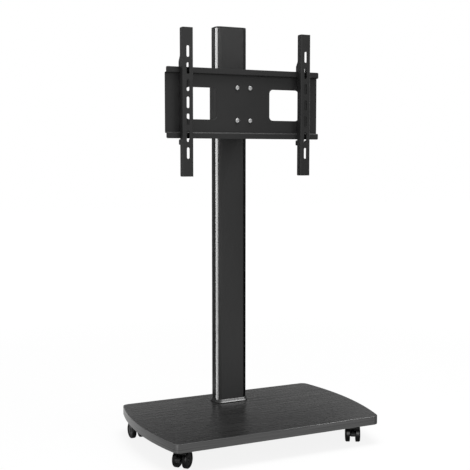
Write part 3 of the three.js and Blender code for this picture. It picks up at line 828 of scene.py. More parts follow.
@dataclass(frozen=True)
class Finish:
    """What every finish holds: its slot, its colour, its gloss and how hard its edges are rubbed.

    Attributes:
        dark: Darkest tone of the surface, linear.
        light: Lightest tone of the surface, linear.
        gloss: Lowest and highest roughness.
        wear: Share of the rubbed tone on worn edges.
        rubbed: Tone of a rubbed edge, linear.
        relief: Strength and distance of the relief.
    """

    slot: Slot
    dark: Colour
    light: Colour
    gloss: Point
    specular: float
    wear: float
    rubbed: Colour
    dust: float = 0.0
    relief: ClassVar[Point] = (0.15, 0.1 * MM)
    metallic: ClassVar[float] = 0.0

    def pattern(self, graph: Graph, effects: Effects, place: Any) -> tuple[Any, Any]:
        """Gives tone and relief, each from 0 to 1: here a soft cloud and a pebbled skin."""
        tone = graph.spread(graph.noise(place, 6.0, 3), 0.3, 0.7)
        return tone, effects.speckle.use(graph, Vector=place)

    def extra(self, graph: Graph) -> dict[str, Any]:
        """Gives further inputs of the shader."""
        return {}

    def build(self, effects: Effects) -> bpy.types.Material:
        """Makes the material.

        Args:
            effects: The shared shader groups.

        Returns:
            The new material.
        """
        material = bpy.data.materials.new(self.slot.value)
        material.diffuse_color = self.light
        graph = Graph.of(material)
        place = graph.place()
        tone, height = self.pattern(graph, effects, place)
        colour = graph.blend(tone, self.dark, self.light)
        worn = effects.wear.use(graph, Vector=place, Amount=self.wear)
        colour = graph.blend(worn, colour, self.rubbed)
        roughness = graph.spread(tone, 0.0, 1.0, *self.gloss)
        if self.dust:
            film = effects.dust.use(graph, Vector=place, Amount=self.dust)
            colour = graph.blend(film, colour, DUST_GREY)
            dulled = graph.math("MULTIPLY", film, DUST_ROUGHNESS)
            roughness = graph.math("ADD", roughness, dulled, clamp=True)
        strength, distance = self.relief
        bump = graph.add("ShaderNodeBump", {"Height": height, "Strength": strength, "Distance": distance})
        shader = graph.add(
            "ShaderNodeBsdfPrincipled",
            {
                "Base Color": colour,
                "Roughness": roughness,
                "Normal": bump.outputs[0],
                "Metallic": self.metallic,
                "Specular IOR Level": self.specular,
                **self.extra(graph),
            },
        )
        graph.add("ShaderNodeOutputMaterial", {"Surface": shader.outputs[0]})
        return material


class WoodGrainLaminate(Finish):
    """Black laminate with a straight grain along X and fine dark pores, pressed in shallow."""

    relief = (0.5, 0.3 * MM)

    def pattern(self, graph: Graph, effects: Effects, place: Any) -> tuple[Any, Any]:
        """Gives broad bands, fine fibres and pores.

        Args:
            graph: The tree that the nodes go into.
            effects: The shared shader groups.
            place: The point on the piece.

        Returns:
            The tone, darker in the pores, and the height that the grain presses in.
        """
        broad = effects.streaks.use(graph, Vector=place, Stretch=(1.1, 180, 180), Waver=0.007, Detail=2.5)
        fibres = effects.streaks.use(graph, Vector=place, Stretch=(5, 420, 420), Waver=0.01, Detail=3.0)
        pores = effects.streaks.use(graph, Vector=place, Stretch=(22, 1100, 1100), Waver=0.004)
        bands = graph.spread(broad, 0.38, 0.62)
        threads = graph.spread(fibres, 0.36, 0.64)
        pits = graph.spread(pores, 0.36, 0.5)
        body = graph.sum((bands, 0.55), (threads, 0.45))
        tone = graph.math("MULTIPLY", body, graph.math("ADD", graph.math("MULTIPLY", pits, 0.45), 0.55))
        return tone, graph.sum((bands, 0.6), (threads, 0.2), (pits, 0.2))


class GrainedBanding(Finish):
    """Edge banding in the laminate's paler tone, its fine grain level all the way round."""

    relief = (0.1, 0.03 * MM)

    def pattern(self, graph: Graph, effects: Effects, place: Any) -> tuple[Any, Any]:
        """Gives level streaks, and a fine pebbled skin between them.

        Args:
            graph: The tree that the nodes go into.
            effects: The shared shader groups.
            place: The point on the piece.

        Returns:
            The tone of the streaks, and the height of streaks and skin.
        """
        streaks = effects.streaks.use(graph, Vector=place, Stretch=(3, 3, 300), Waver=0.006)
        skin = effects.speckle.use(graph, Vector=place)
        tone = graph.spread(streaks, 0.36, 0.64)
        return tone, graph.sum((tone, 1.0), (skin, 0.3))


class DrawnAluminium(Finish):
    """Black anodised extrusion, with the faint lines of the die along Z."""

    relief = (0.05, 0.03 * MM)

    def pattern(self, graph: Graph, effects: Effects, place: Any) -> tuple[Any, Any]:
        """Gives the faint lines of the die, a little cloudy.

        Args:
            graph: The tree that the nodes go into.
            effects: The shared shader groups.
            place: The point on the piece.

        Returns:
            The tone, and the height of the lines.
        """
        lines = effects.streaks.use(graph, Vector=place, Stretch=(900, 900, 1.5), Detail=2.0)
        tone = graph.sum((lines, 0.6), (graph.noise(place, 3.0, 2), 0.4))
        return graph.spread(tone, 0.3, 0.7), lines

    def extra(self, graph: Graph) -> dict[str, Any]:
        """Draws the highlights out along the column's height."""
        around = graph.add("ShaderNodeTangent", direction_type="RADIAL", axis="Z")
        return {"Anisotropic": 1.0, "Anisotropic Rotation": 0.25, "Tangent": around.outputs[0]}


class PebbledPaint(Finish):
    """Powder coat or moulded plastic with a fine pebbled skin."""


class RolledNylon(Finish):
    """Moulded nylon, a little scuffed where it rolls."""

    relief = (0.08, 0.05 * MM)

    def pattern(self, graph: Graph, effects: Effects, place: Any) -> tuple[Any, Any]:
        """Gives scuffs over a smooth skin.

        Args:
            graph: The tree that the nodes go into.
            effects: The shared shader groups.
            place: The point on the piece.

        Returns:
            The tone of scuffs and cloud, and the height of the skin.
        """
        scuffs = graph.spread(graph.noise(place, 260.0, 4, 0.65), 0.45, 0.8)
        tone = graph.sum((scuffs, 0.5), (graph.noise(place, 40.0, 2), 0.5))
        return tone, graph.noise(place, 900.0, 2)


class PlatedSteel(Finish):
    """Zinc plate over turned steel, with fine marks and a cloudy bloom."""

    relief = (0.1, 0.03 * MM)
    metallic = 1.0

    def pattern(self, graph: Graph, effects: Effects, place: Any) -> tuple[Any, Any]:
        """Gives the cloudy bloom and the fine marks."""
        bloom = graph.spread(graph.noise(place, 160.0, 4, 0.6), 0.3, 0.7)
        return bloom, graph.noise(place, 2600.0, 2)


FINISHES: tuple[Finish, ...] = (
    WoodGrainLaminate(
        slot=Slot.WOOD, dark=grey(0.011), light=grey(0.034), gloss=(0.2, 0.42), specular=0.045, wear=0.1,
        rubbed=grey(0.12), dust=0.02,
    ),
    GrainedBanding(
        slot=Slot.EDGING, dark=grey(0.07), light=grey(0.1), gloss=(0.26, 0.36), specular=0.34, wear=0.03,
        rubbed=grey(0.16),
    ),
    DrawnAluminium(
        slot=Slot.ALUMINIUM, dark=grey(0.0015), light=grey(0.0035), gloss=(0.37, 0.4), specular=0.5,
        wear=0.04, rubbed=grey(0.12),
    ),
    PebbledPaint(
        slot=Slot.STEEL, dark=grey(0.009), light=grey(0.016), gloss=(0.42, 0.56), specular=0.4, wear=0.2,
        rubbed=grey(0.1), dust=0.02,
    ),
    PebbledPaint(
        slot=Slot.PLASTIC, dark=grey(0.003), light=grey(0.007), gloss=(0.3, 0.4), specular=0.42, wear=0.15,
        rubbed=grey(0.07), dust=0.02,
    ),
    RolledNylon(
        slot=Slot.NYLON, dark=grey(0.002), light=grey(0.006), gloss=(0.3, 0.46), specular=0.15, wear=0.2,
        rubbed=grey(0.05),
    ),
    PlatedSteel(
        slot=Slot.ZINC, dark=grey(0.36, -0.02), light=grey(0.56, 0.01), gloss=(0.22, 0.38), specular=0.5,
        wear=0.1, rubbed=grey(0.7),
    ),
)


class SubAssembly:
    """Builds the pieces of one part of the stand and hands each to its body."""

    materials: ClassVar[dict[Slot, bpy.types.Material]] = {}
    pieces: ClassVar[list[bpy.types.Object]] = []

    def put(self, name: str, solid: Solid, slot: Slot, body: str, replaces: str | None = None) -> None:
        """Ends a piece: dresses it, lets it ride and has it stand for a node.

        Args:
            name: Name of the piece.
            solid: Its shape.
            slot: The slot of its finish.
            body: The body that carries it.
            replaces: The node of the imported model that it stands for.
        """
        mesh = solid.to_mesh(name)
        mesh.materials.append(self.materials[slot])
        item = bpy.data.objects.new(name, mesh)
        bpy.context.scene.collection.objects.link(item)
        weighted = item.modifiers.new("even_flats", "WEIGHTED_NORMAL")
        weighted.keep_sharp = True
        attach(item, body)
        if replaces:
            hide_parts(replaces)
        self.pieces.append(item)
        log.info("%s: %d faces, rides on %s", name, len(mesh.polygons), body)

    def put_screws(
        self, piece: str, node: str, body: str, axis: int, seat: float, shank: float, thread: float
    ) -> None:
        """Builds four like screws, whose heads point down or to the front.

        Args:
            piece: Name of the pieces, before their number.
            node: Name of the nodes that they stand for, before their number.
            body: The body that carries them.
            axis: Index of the axis that they lie along.
            seat: Where the undersides of their heads lie on that axis.
            shank: Radius of their shanks.
            thread: Length of their threads.
        """
        inward = (RIGHTWARD, REARWARD, UPWARD)[axis]
        for number in range(1, 5):
            box = Box.of(f"{node}_{number}")
            spot = box.middle
            spot[axis] = seat
            shape = ScrewShape(box.size.x / 2, seat - box.low[axis], shank, box.high[axis] - seat, thread)
            solid = Solid()
            shape.add(solid, along(-inward, spot))
            self.put(f"{piece}_{number}", solid, Slot.ZINC, body, f"{node}_{number}")

    def build(self) -> None:
        """Builds every piece of the sub-assembly."""
        raise NotImplementedError


@dataclass
class ScrewShape:
    """A screw or bolt whose head rests on local Z zero and whose shank runs along local -Z.

    Attributes:
        head_radius: Radius of the head, to the corners of a hexagon.
        thread_length: How much of the shank's end is threaded.
        dome_share: How far a domed head's rim is rounded, as a share of its height.
        chamfer_share: Height of a hexagon's chamfer, as a share of its height.
        recess_share: Radius of the recess, as a share of the head's.
        depth_share: Depth of the recess, as a share of the head's height.
        sink_share: Radius of the recess at its mouth, as a share of its own.
    """

    head_radius: float
    head_height: float
    shank_radius: float
    shank_length: float
    thread_length: float
    form: HeadForm = HeadForm.RECESSED_DOME
    pitch: float = 1.25 * MM
    thread_depth: float = 0.6 * MM
    edge: float = 0.2 * MM
    dome_share: float = 0.55
    chamfer_share: float = 0.25
    recess_share: float = 0.42
    depth_share: float = 0.6
    sink_share: float = 1.08

    def add_head(self, solid: Solid, place: Matrix) -> None:
        """Adds the head to a solid.

        Args:
            solid: What collects the head.
            place: From the screw's own axes to the frame.
        """
        radius, top = self.head_radius, self.head_height
        profile = [(self.shank_radius, -0.5 * self.edge), (self.shank_radius, 0.0), (radius - self.edge, 0.0)]
        if self.form is HeadForm.HEXAGON:
            chamfer = top * self.chamfer_share
            steps = 4
            profile.append((radius, self.edge))
            profile += [(radius, top - chamfer * (1 - i / steps)) for i in range(steps + 1)]
            wave = hexagonal(radius, chamfer, top)
        else:
            rim = top * self.dome_share
            recess = radius * self.recess_share
            profile += arc((radius - rim, top - rim), rim, 0, 90, 6)
            profile += [(recess * self.sink_share, top), (recess, top - self.edge)]
            profile.append((recess, top - top * self.depth_share))
            wave = None
        solid.turned(profile, place, 36, wave)

    def add_shank(self, solid: Solid, place: Matrix, lead: float = 0.0, overlap: float = 0.1 * MM) -> None:
        """Adds the threaded shank to a solid.

        Args:
            solid: What collects the shank.
            place: From the screw's own axes to the frame.
            lead: Length of the plain tip before the groove starts.
            overlap: How far the shank reaches into the head.
        """
        tip, cut, depth = -self.shank_length, self.thread_length, self.thread_depth
        count = max(2, round(cut / self.pitch * RINGS_PER_TURN))
        ramp = [(self.shank_radius, tip + depth + cut * i / count) for i in range(count + 1)]
        profile = [(self.shank_radius - depth, tip), *ramp]
        if ramp[-1][1] < 0:
            profile.append((self.shank_radius, overlap))
        solid.turned(profile, place, 18, threaded(self.pitch, depth, tip + lead, tip + cut))

    def add(self, solid: Solid, place: Matrix) -> None:
        """Adds the whole screw to a solid, placed from its own axes to the frame."""
        self.add_head(solid, place)
        self.add_shank(solid, place, self.thread_depth / 2, 0.0)


def add_nut(solid: Solid, place: Matrix, spread: float, bore: float, height: float) -> None:
    """Adds a hexagon nut with a chamfer at both faces and a countersunk bore.

    Args:
        solid: What collects the nut.
        place: From the nut's own axes to the frame.
        spread: Distance from the middle to a corner.
        bore: Radius of the bore.
        height: Height of the nut.
    """
    sink = 0.5 * MM
    chamfer = height / 5
    steps = 3
    rise = [i / steps * chamfer for i in range(steps + 1)]
    rim = [(spread, z) for z in rise] + [(spread, height - z) for z in reversed(rise)]
    profile = [(bore, sink), (bore + sink, 0.0), *rim, (bore + sink, height), (bore, height - sink)]
    six = hexagonal(spread, chamfer, height)

    def wave(angle: float, radius: float, z: float) -> float:
        """Chamfers the hexagon at both faces."""
        return min(six(angle, radius, z), six(angle, radius, height - z))

    solid.turned(profile, place, 36, wave, looped=True)


@dataclass
class HandKnob:
    """A lobed hand knob with a dished face, its threaded stud along local -Z.

    Attributes:
        lobe_start: How far outside the neck the hollows begin.
        dish_share: Radius of the dish, as a share of the grip's.
        thread_length: How much of the stud's end is threaded.
    """

    radius: float = 19 * MM
    thickness: float = 15 * MM
    edge: float = 3 * MM
    lobes: int = 7
    lobe_depth: float = 2.2 * MM
    lobe_start: float = 2 * MM
    dish_depth: float = 1.2 * MM
    dish_share: float = 0.55
    neck_radius: float = 9 * MM
    neck_length: float = 3 * MM
    neck_edge: float = 0.6 * MM
    stud_radius: float = 4 * MM
    thread_length: float = 22 * MM

    def grip(self) -> Loop:
        """Gives the grip's profile, from the neck round to the middle of its dish.

        Returns:
            Points of radius and height.
        """
        top, edge = self.neck_length + self.thickness, self.edge
        dish, depth = self.radius * self.dish_share, self.dish_depth
        profile = [(self.neck_radius, self.neck_length)]
        profile += arc((self.radius - edge, self.neck_length + edge), edge, -90, 0, 5)
        profile += arc((self.radius - edge, top - edge), edge, 0, 90, 6)
        profile += [(dish + edge / 2, top), (dish, top - depth / 3), (dish - edge / 3, top - depth)]
        return profile + [(dish * 0.3, top - depth * 0.7)]

    def add(self, solid: Solid, place: Matrix, stud_length: float) -> None:
        """Adds the knob to a solid, its neck starting at local Z zero.

        Args:
            solid: What collects the knob.
            place: From the knob's own axes to the frame.
            stud_length: Length of the stud from the neck to its tip.
        """
        waist, first = self.neck_radius, self.neck_radius + self.lobe_start

        def lobed(angle: float, radius: float, height: float) -> float:
            """Draws the rim in between the lobes."""
            weight = max(0, min(1, (radius - first) / (self.radius - first)))
            return radius - self.lobe_depth * weight * (1 - math.cos(self.lobes * angle)) / 2

        solid.turned(self.grip(), place, 12 * self.lobes, lobed)
        neck = [(waist - self.neck_edge, 0.0), (waist, self.neck_edge), (waist, self.neck_length + 0.1 * MM)]
        solid.turned(neck, place)
        stud = ScrewShape(waist, self.neck_length, self.stud_radius, stud_length, self.thread_length)
        stud.add_shank(solid, place)


@dataclass
class BaseBoard(SubAssembly):
    """The bowed board with its edge banding, the foot plate and the four bolts under the column.

    Attributes:
        bow: How far each side swells beyond its corners.
        seam: Gap between laminate and banding.
        bolt_room: Room round a bolt in its hole.
    """

    bow: float = 31 * MM
    corner_radius: float = 22 * MM
    band: float = 1.5 * MM
    seam: float = 0.15 * MM
    top_edge: float = 1.0 * MM
    laminate_edge: float = 0.25 * MM
    side_steps: int = 40
    corner_steps: int = 10
    plate_radius: float = 12 * MM
    plate_edge: float = 0.5 * MM
    bolt_radius: float = 4 * MM
    bolt_thread: float = 18 * MM
    bolt_room: float = 0.4 * MM

    def outline(self, inset: float) -> Loop:
        """Gives the board's plan, drawn in all round.

        Args:
            inset: How far it is drawn in.

        Returns:
            The closed loop, counter-clockwise.
        """
        size = Box.of("edge_band").size
        half = size.y / 2
        side = (self.bow**2 + half**2) / (2 * self.bow)
        centre = size.x / 2 - side
        corner_y = half - self.corner_radius
        corner_x = centre + math.sqrt((side - self.corner_radius) ** 2 - corner_y**2)
        swing = math.degrees(math.atan2(corner_y, corner_x - centre))
        corner, side = self.corner_radius - inset, side - inset
        steps = self.corner_steps
        return [
            *arc((centre, 0), side, -swing, swing, self.side_steps),
            *arc((corner_x, corner_y), corner, swing, 90, steps)[1:],
            *arc((-corner_x, corner_y), corner, 90, 180 - swing, steps),
            *arc((-centre, 0), side, 180 - swing, 180 + swing, self.side_steps)[1:],
            *arc((-corner_x, -corner_y), corner, 180 + swing, 270, steps)[1:],
            *arc((corner_x, -corner_y), corner, -90, -swing, steps)[:-1],
        ]

    def banding(self, heights: Point) -> Solid:
        """Gives the band round the board, its outer edges rounded.

        Args:
            heights: Heights of the board's two faces.

        Returns:
            The band.
        """
        outer = grown(self.outline(self.top_edge), self.top_edge)
        inner = self.outline(self.band)
        rings = [raised(grown(outer, -inset), z) for inset, z in eased(self.top_edge, heights, 4)]
        rings += [raised(inner, z) for z in reversed(heights)]
        solid = Solid()
        solid.skin(rings, looped=True)
        return solid

    def foot_plate(self, box: Box) -> Solid:
        """Gives the plate under the board, with a hole for each bolt.

        Args:
            box: Room of the plate.

        Returns:
            The plate.
        """
        middles = [Box.of(f"foot_bolt_{i + 1}").middle for i in range(4)]
        holes = [circle(middle[:2], self.bolt_radius + self.bolt_room) for middle in middles]
        outline = rounded_rectangle(box.size[:2], self.plate_radius, box.middle[:2], 8)
        return Solid().plate(outline, (box.low.z, box.high.z), self.plate_edge, holes)

    def build(self) -> None:
        """Builds the board, its banding, the foot plate and the bolts."""
        box = Box.of("base_board")
        heights = (box.low.z, box.high.z)
        outline = self.outline(self.band + self.seam)
        board = Solid().plate(outline, heights, self.laminate_edge, steps=2)
        self.put("laminated_board", board, Slot.WOOD, "base", "base_board")
        self.put("edge_banding", self.banding(heights), Slot.EDGING, "base", "edge_band")
        plate = Box.of("foot_plate")
        self.put("foot_plate_pressing", self.foot_plate(plate), Slot.STEEL, "base", "foot_plate")
        seat = plate.low.z
        self.put_screws("foot_screw", "foot_bolt", "base", 2, seat, self.bolt_radius, self.bolt_thread)


@dataclass
class Column(SubAssembly):
    """The hollow extruded column with its foot trim, end cap and cable cover.

    Attributes:
        trim_hollow: How hollow the trim's slope is, where 1 is straight.
        cap_crown: How far the end cap's middle stands above its rim.
        cap_rise: Insets of the two rings between rim and middle.
        plug_play: Room of the plug in the column, front and rear together.
    """

    radius: float = 16 * MM
    wall: float = 2.5 * MM
    channel_radius: float = 7.2 * MM
    channel_inset: float = 10.5 * MM
    channel_bore: float = 4.4 * MM
    tube_edge: float = 0.3 * MM
    trim_lip: float = 2 * MM
    trim_wall: float = 0.8 * MM
    trim_hollow: float = 1.2
    trim_gap: float = 0.3 * MM
    trim_edge: float = 0.5 * MM
    cap_edge: float = 1.8 * MM
    cap_crown: float = 0.6 * MM
    cap_rise: Point = (6 * MM, 11.5 * MM)
    plug_width: float = 62 * MM
    plug_play: float = 0.8 * MM
    cover_wall: float = 2 * MM
    cover_radius: float = 6 * MM
    corner_steps: int = 10

    def section(self, grow: float) -> Loop:
        """Gives the column's outline.

        Args:
            grow: How far the outline stands off the column's own.

        Returns:
            The closed loop, counter-clockwise.
        """
        box = Box.of("column")
        size = (box.size.x + 2 * grow, box.size.y + 2 * grow)
        return rounded_rectangle(size, self.radius + grow, box.middle[:2], self.corner_steps)

    def extrusion(self) -> Solid:
        """Gives the tube and the four screw channels inside it.

        Returns:
            The extrusion.
        """
        box = Box.of("column")
        heights, bore = (box.low.z, box.high.z), self.section(-self.wall)
        solid = Solid().plate(self.section(0), heights, self.tube_edge, [bore], steps=2)
        reach = box.size / 2 - Vector((self.channel_inset,) * 3)
        for side_x in (-1, 1):
            for side_y in (-1, 1):
                spot = (box.middle.x + side_x * reach.x, box.middle.y + side_y * reach.y, 0)
                ring = [(self.channel_bore, heights[0]), (self.channel_radius, heights[0])]
                ring += [(radius, heights[1]) for radius, _ in reversed(ring)]
                solid.turned(ring, Matrix.Translation(spot), 24, looped=True)
        return solid

    def foot_trim(self) -> Solid:
        """Gives the trim, which slopes out to the board, a little hollow, above a short lip.

        Returns:
            The trim.
        """
        box = Box.of("column_foot_trim")
        reach = (box.size.x - Box.of("column").size.x) / 2
        top, floor = box.high.z, box.low.z
        edge = self.trim_edge
        steps = 12
        rings = [self.section(reach - edge), self.section(reach)]
        levels = [floor, floor + edge]
        rise = top - edge - floor - self.trim_lip
        for i in range(steps + 1):
            share = i / steps
            rings.append(self.section(reach - (reach - self.trim_wall) * share))
            levels.append(floor + self.trim_lip + rise * share**self.trim_hollow)
        rings += [self.section(self.trim_wall - edge), self.section(self.trim_gap)]
        levels += [top, top]
        rings.append(self.section(self.trim_gap))
        levels.append(floor)
        solid = Solid()
        solid.skin([raised(ring, z) for ring, z in zip(rings, levels)], looped=True)
        return solid

    def end_cap(self) -> Solid:
        """Gives the cap with its rounded rim and the plug below it.

        Returns:
            The cap.
        """
        box = Box.of("column_top_cap")
        seat = Box.of("column").high.z
        top, edge = box.high.z - self.cap_crown, self.cap_edge
        steps = 5
        turns = [QUARTER * i / steps for i in range(steps + 1)]
        rings = [(0.0, seat), (0.0, top - edge)]
        rings += [(-edge * (1 - math.cos(turn)), top - edge * (1 - math.sin(turn))) for turn in turns]
        rings += [(-self.cap_rise[0], box.high.z - self.cap_crown / 3), (-self.cap_rise[1], box.high.z)]
        solid = Solid()
        solid.skin([raised(self.section(grow), z) for grow, z in rings])
        plug = (self.plug_width, box.size.y - 2 * self.wall - self.plug_play)
        outline, edge = rounded_rectangle(plug, 2 * MM, box.middle[:2]), 0.5 * MM
        return solid.plate(outline, (box.low.z, seat + edge), edge)

    def cable_cover(self) -> Solid:
        """Gives the channel-shaped cover on the rear face.

        Returns:
            The cover.
        """
        box = Box.of("cable_cover")
        half, near, far = box.size.x / 2, box.low.y, box.high.y
        wall = self.cover_wall
        left = [(-half, far), (-half, near), (-half + wall, near), (-half + wall, far - wall)]
        corners = left[1:] + mirrored(left) + left[:1]
        inner = self.cover_radius - wall
        radii = [0.0, 0.0, inner, inner, 0.0, 0.0, self.cover_radius, self.cover_radius]
        return Solid().plate(filleted(corners, radii, 6), (box.low.z, box.high.z), 0.4 * MM, steps=2)

    def build(self) -> None:
        """Builds the column and what is fixed to it."""
        self.put("column_extrusion", self.extrusion(), Slot.ALUMINIUM, "base", "column")
        self.put("foot_trim_moulding", self.foot_trim(), Slot.PLASTIC, "base", "column_foot_trim")
        self.put("end_cap_moulding", self.end_cap(), Slot.PLASTIC, "base", "column_top_cap")
        self.put("cable_cover_moulding", self.cable_cover(), Slot.PLASTIC, "base", "cable_cover")


@dataclass
class Carriage(SubAssembly):
    """The clamp sleeve on the column, its knobs, and the bracket that the head tilts on.

    Attributes:
        column: The column that the sleeve runs on.
        weld: Size of the weld round a boss.
        plate: Thickness of the bracket's sheet.
        stud_hole: Radius of the holes and bores for the knobs' studs.
    """

    column: Column
    wall: float = 3.5 * MM
    sleeve_edge: float = 0.8 * MM
    liner_gap: float = 0.4 * MM
    liner: float = 1.8 * MM
    boss_radius: float = 10 * MM
    weld: float = 2.2 * MM
    plate: float = 4 * MM
    plate_bend: float = 3 * MM
    ear_radius: float = 15 * MM
    pivot_hole: float = 5.3 * MM
    stud_hole: float = 4.3 * MM
    screw_hole: float = 3.3 * MM

    def pivot(self) -> Vector:
        """Gives the middle of the tilt pivot."""
        return Vector(joint("head_tilt")["pos_m"])

    def lock(self) -> Vector:
        """Gives the middle of the tilt lock's stud."""
        return Vector(joint("tilt_lock_knob_turn")["pos_m"])

    def sleeve(self) -> Solid:
        """Gives the sleeve with its bosses, each with a weld round its foot.

        Returns:
            The sleeve.
        """
        box = Box.of("carriage_sleeve")
        grow = (box.size.x - Box.of("column").size.x) / 2
        bore = self.column.section(grow - self.wall)
        edge, weld, hole = self.sleeve_edge, self.weld, self.stud_hole
        solid = Solid().plate(self.column.section(grow), (box.low.z, box.high.z), edge, [bore])
        face = Box.of("column").high.y + grow
        tip = box.high.y - face
        profile = [(hole, -0.5 * MM), (self.boss_radius + weld, -0.2 * MM)]
        profile += arc((self.boss_radius + weld, weld), weld, 270, 180, 5)
        profile += arc((self.boss_radius - edge, tip - edge), edge, 0, 90, 4)
        profile += [(hole + 0.4 * MM, tip), (hole, tip - 0.4 * MM)]
        for name in ("upper", "lower"):
            spot = (box.middle.x, face, Box.of(f"height_knob_{name}").middle.z)
            solid.turned(profile, along(REARWARD, spot), 40, looped=True)
        return solid

    def bracket(self) -> Solid:
        """Gives the folded bracket: a web on the sleeve and two ears.

        Returns:
            The bracket.
        """
        box = Box.of("tilt_base_bracket")
        half = self.plate / 2
        web = box.high.y - half
        legs = (box.size.x / 2 - half, web - box.low.y)
        sheet = FoldedSheet(self.plate, self.plate_bend, legs, (90,))
        tip = sheet.unfolded(1, legs[1])
        corners = [(-tip, box.low.z), (tip, box.low.z), (tip, box.high.z), (-tip, box.high.z)]
        outline = filleted(corners, self.ear_radius - 0.1 * MM, 8)
        pivot = self.pivot()
        holes = []
        for side in (-1, 1):
            reach = side * sheet.unfolded(1, web - pivot.y)
            holes.append(circle((reach, pivot.z), self.pivot_hole))
            holes.append(circle((reach, self.lock().z), self.stud_hole))
        for i in range(4):
            spot = Box.of(f"tilt_base_screw_{i + 1}").middle
            holes.append(circle((spot.x, spot.z), self.screw_hole, 20))
        place = placed(RIGHTWARD, UPWARD, -REARWARD, (0, web, 0))
        return sheet.form(outline, holes, 0.5 * MM, place)

    def put_knob(self, piece: str, node: str, axis: int, centre: Vector) -> None:
        """Builds one hand knob, its stud towards the front or the left.

        Args:
            piece: Name of the piece.
            node: The node that it stands for, and the body of that name.
            axis: Index of the axis that its stud lies along.
            centre: A point on that axis.
        """
        box = Box.of(node)
        knob = HandKnob()
        neck = box.high[axis] - knob.thickness - knob.neck_length
        spot = centre.copy()
        spot[axis] = neck
        solid = Solid()
        knob.add(solid, along((RIGHTWARD, REARWARD)[axis], spot), neck - box.low[axis])
        self.put(piece, solid, Slot.PLASTIC, node, node)

    def build_fasteners(self) -> None:
        """Builds the bracket's screws, the pivot bolt and the two nuts."""
        web_front = Box.of("tilt_base_bracket").high.y - self.plate
        self.put_screws("bracket_screw", "tilt_base_screw", "carriage", 1, web_front, 3 * MM, 2 * MM)
        bolt, nut = Box.of("tilt_pivot_bolt"), Box.of("tilt_pivot_nut")
        height, spread, pivot_radius, stud_radius = nut.size.x, nut.size.z / 2, 5 * MM, 4 * MM
        seat = bolt.low.x + height
        length = bolt.high.x - seat
        shape = ScrewShape(spread, height, pivot_radius, length, 16 * MM, HeadForm.HEXAGON)
        solid = Solid()
        shape.add(solid, along(-RIGHTWARD, (seat, *self.pivot()[1:])))
        self.put("pivot_bolt_hexagon", solid, Slot.ZINC, "carriage", "tilt_pivot_bolt")
        nuts = (("pivot_nut", self.pivot(), pivot_radius), ("lock_nut", self.lock(), stud_radius))
        for name, centre, bore in nuts:
            node = f"tilt_{name}"
            solid = Solid()
            place = along(RIGHTWARD, (Box.of(node).low.x, *centre[1:]))
            add_nut(solid, place, spread, bore, height)
            self.put(f"{name}_hexagon", solid, Slot.ZINC, "carriage", node)

    def build(self) -> None:
        """Builds the sleeve and everything that slides with it."""
        self.put("sleeve_shell", self.sleeve(), Slot.STEEL, "carriage", "carriage_sleeve")
        box = Box.of("sleeve_liner")
        outer, inner = (self.column.section(self.liner_gap + wall) for wall in (self.liner, 0))
        liner = Solid().plate(outer, (box.low.z, box.high.z), 0.4 * MM, [inner])
        self.put("sleeve_glide_liner", liner, Slot.PLASTIC, "carriage", "sleeve_liner")
        self.put("tilt_bracket_folded", self.bracket(), Slot.STEEL, "carriage", "tilt_base_bracket")
        self.build_fasteners()
        for node in ("height_knob_upper", "height_knob_lower"):
            self.put_knob(f"{node}_grip", node, 1, Vector((0, 0, Box.of(node).middle.z)))
        self.put_knob("tilt_lock_grip", "tilt_lock_knob", 0, self.lock())


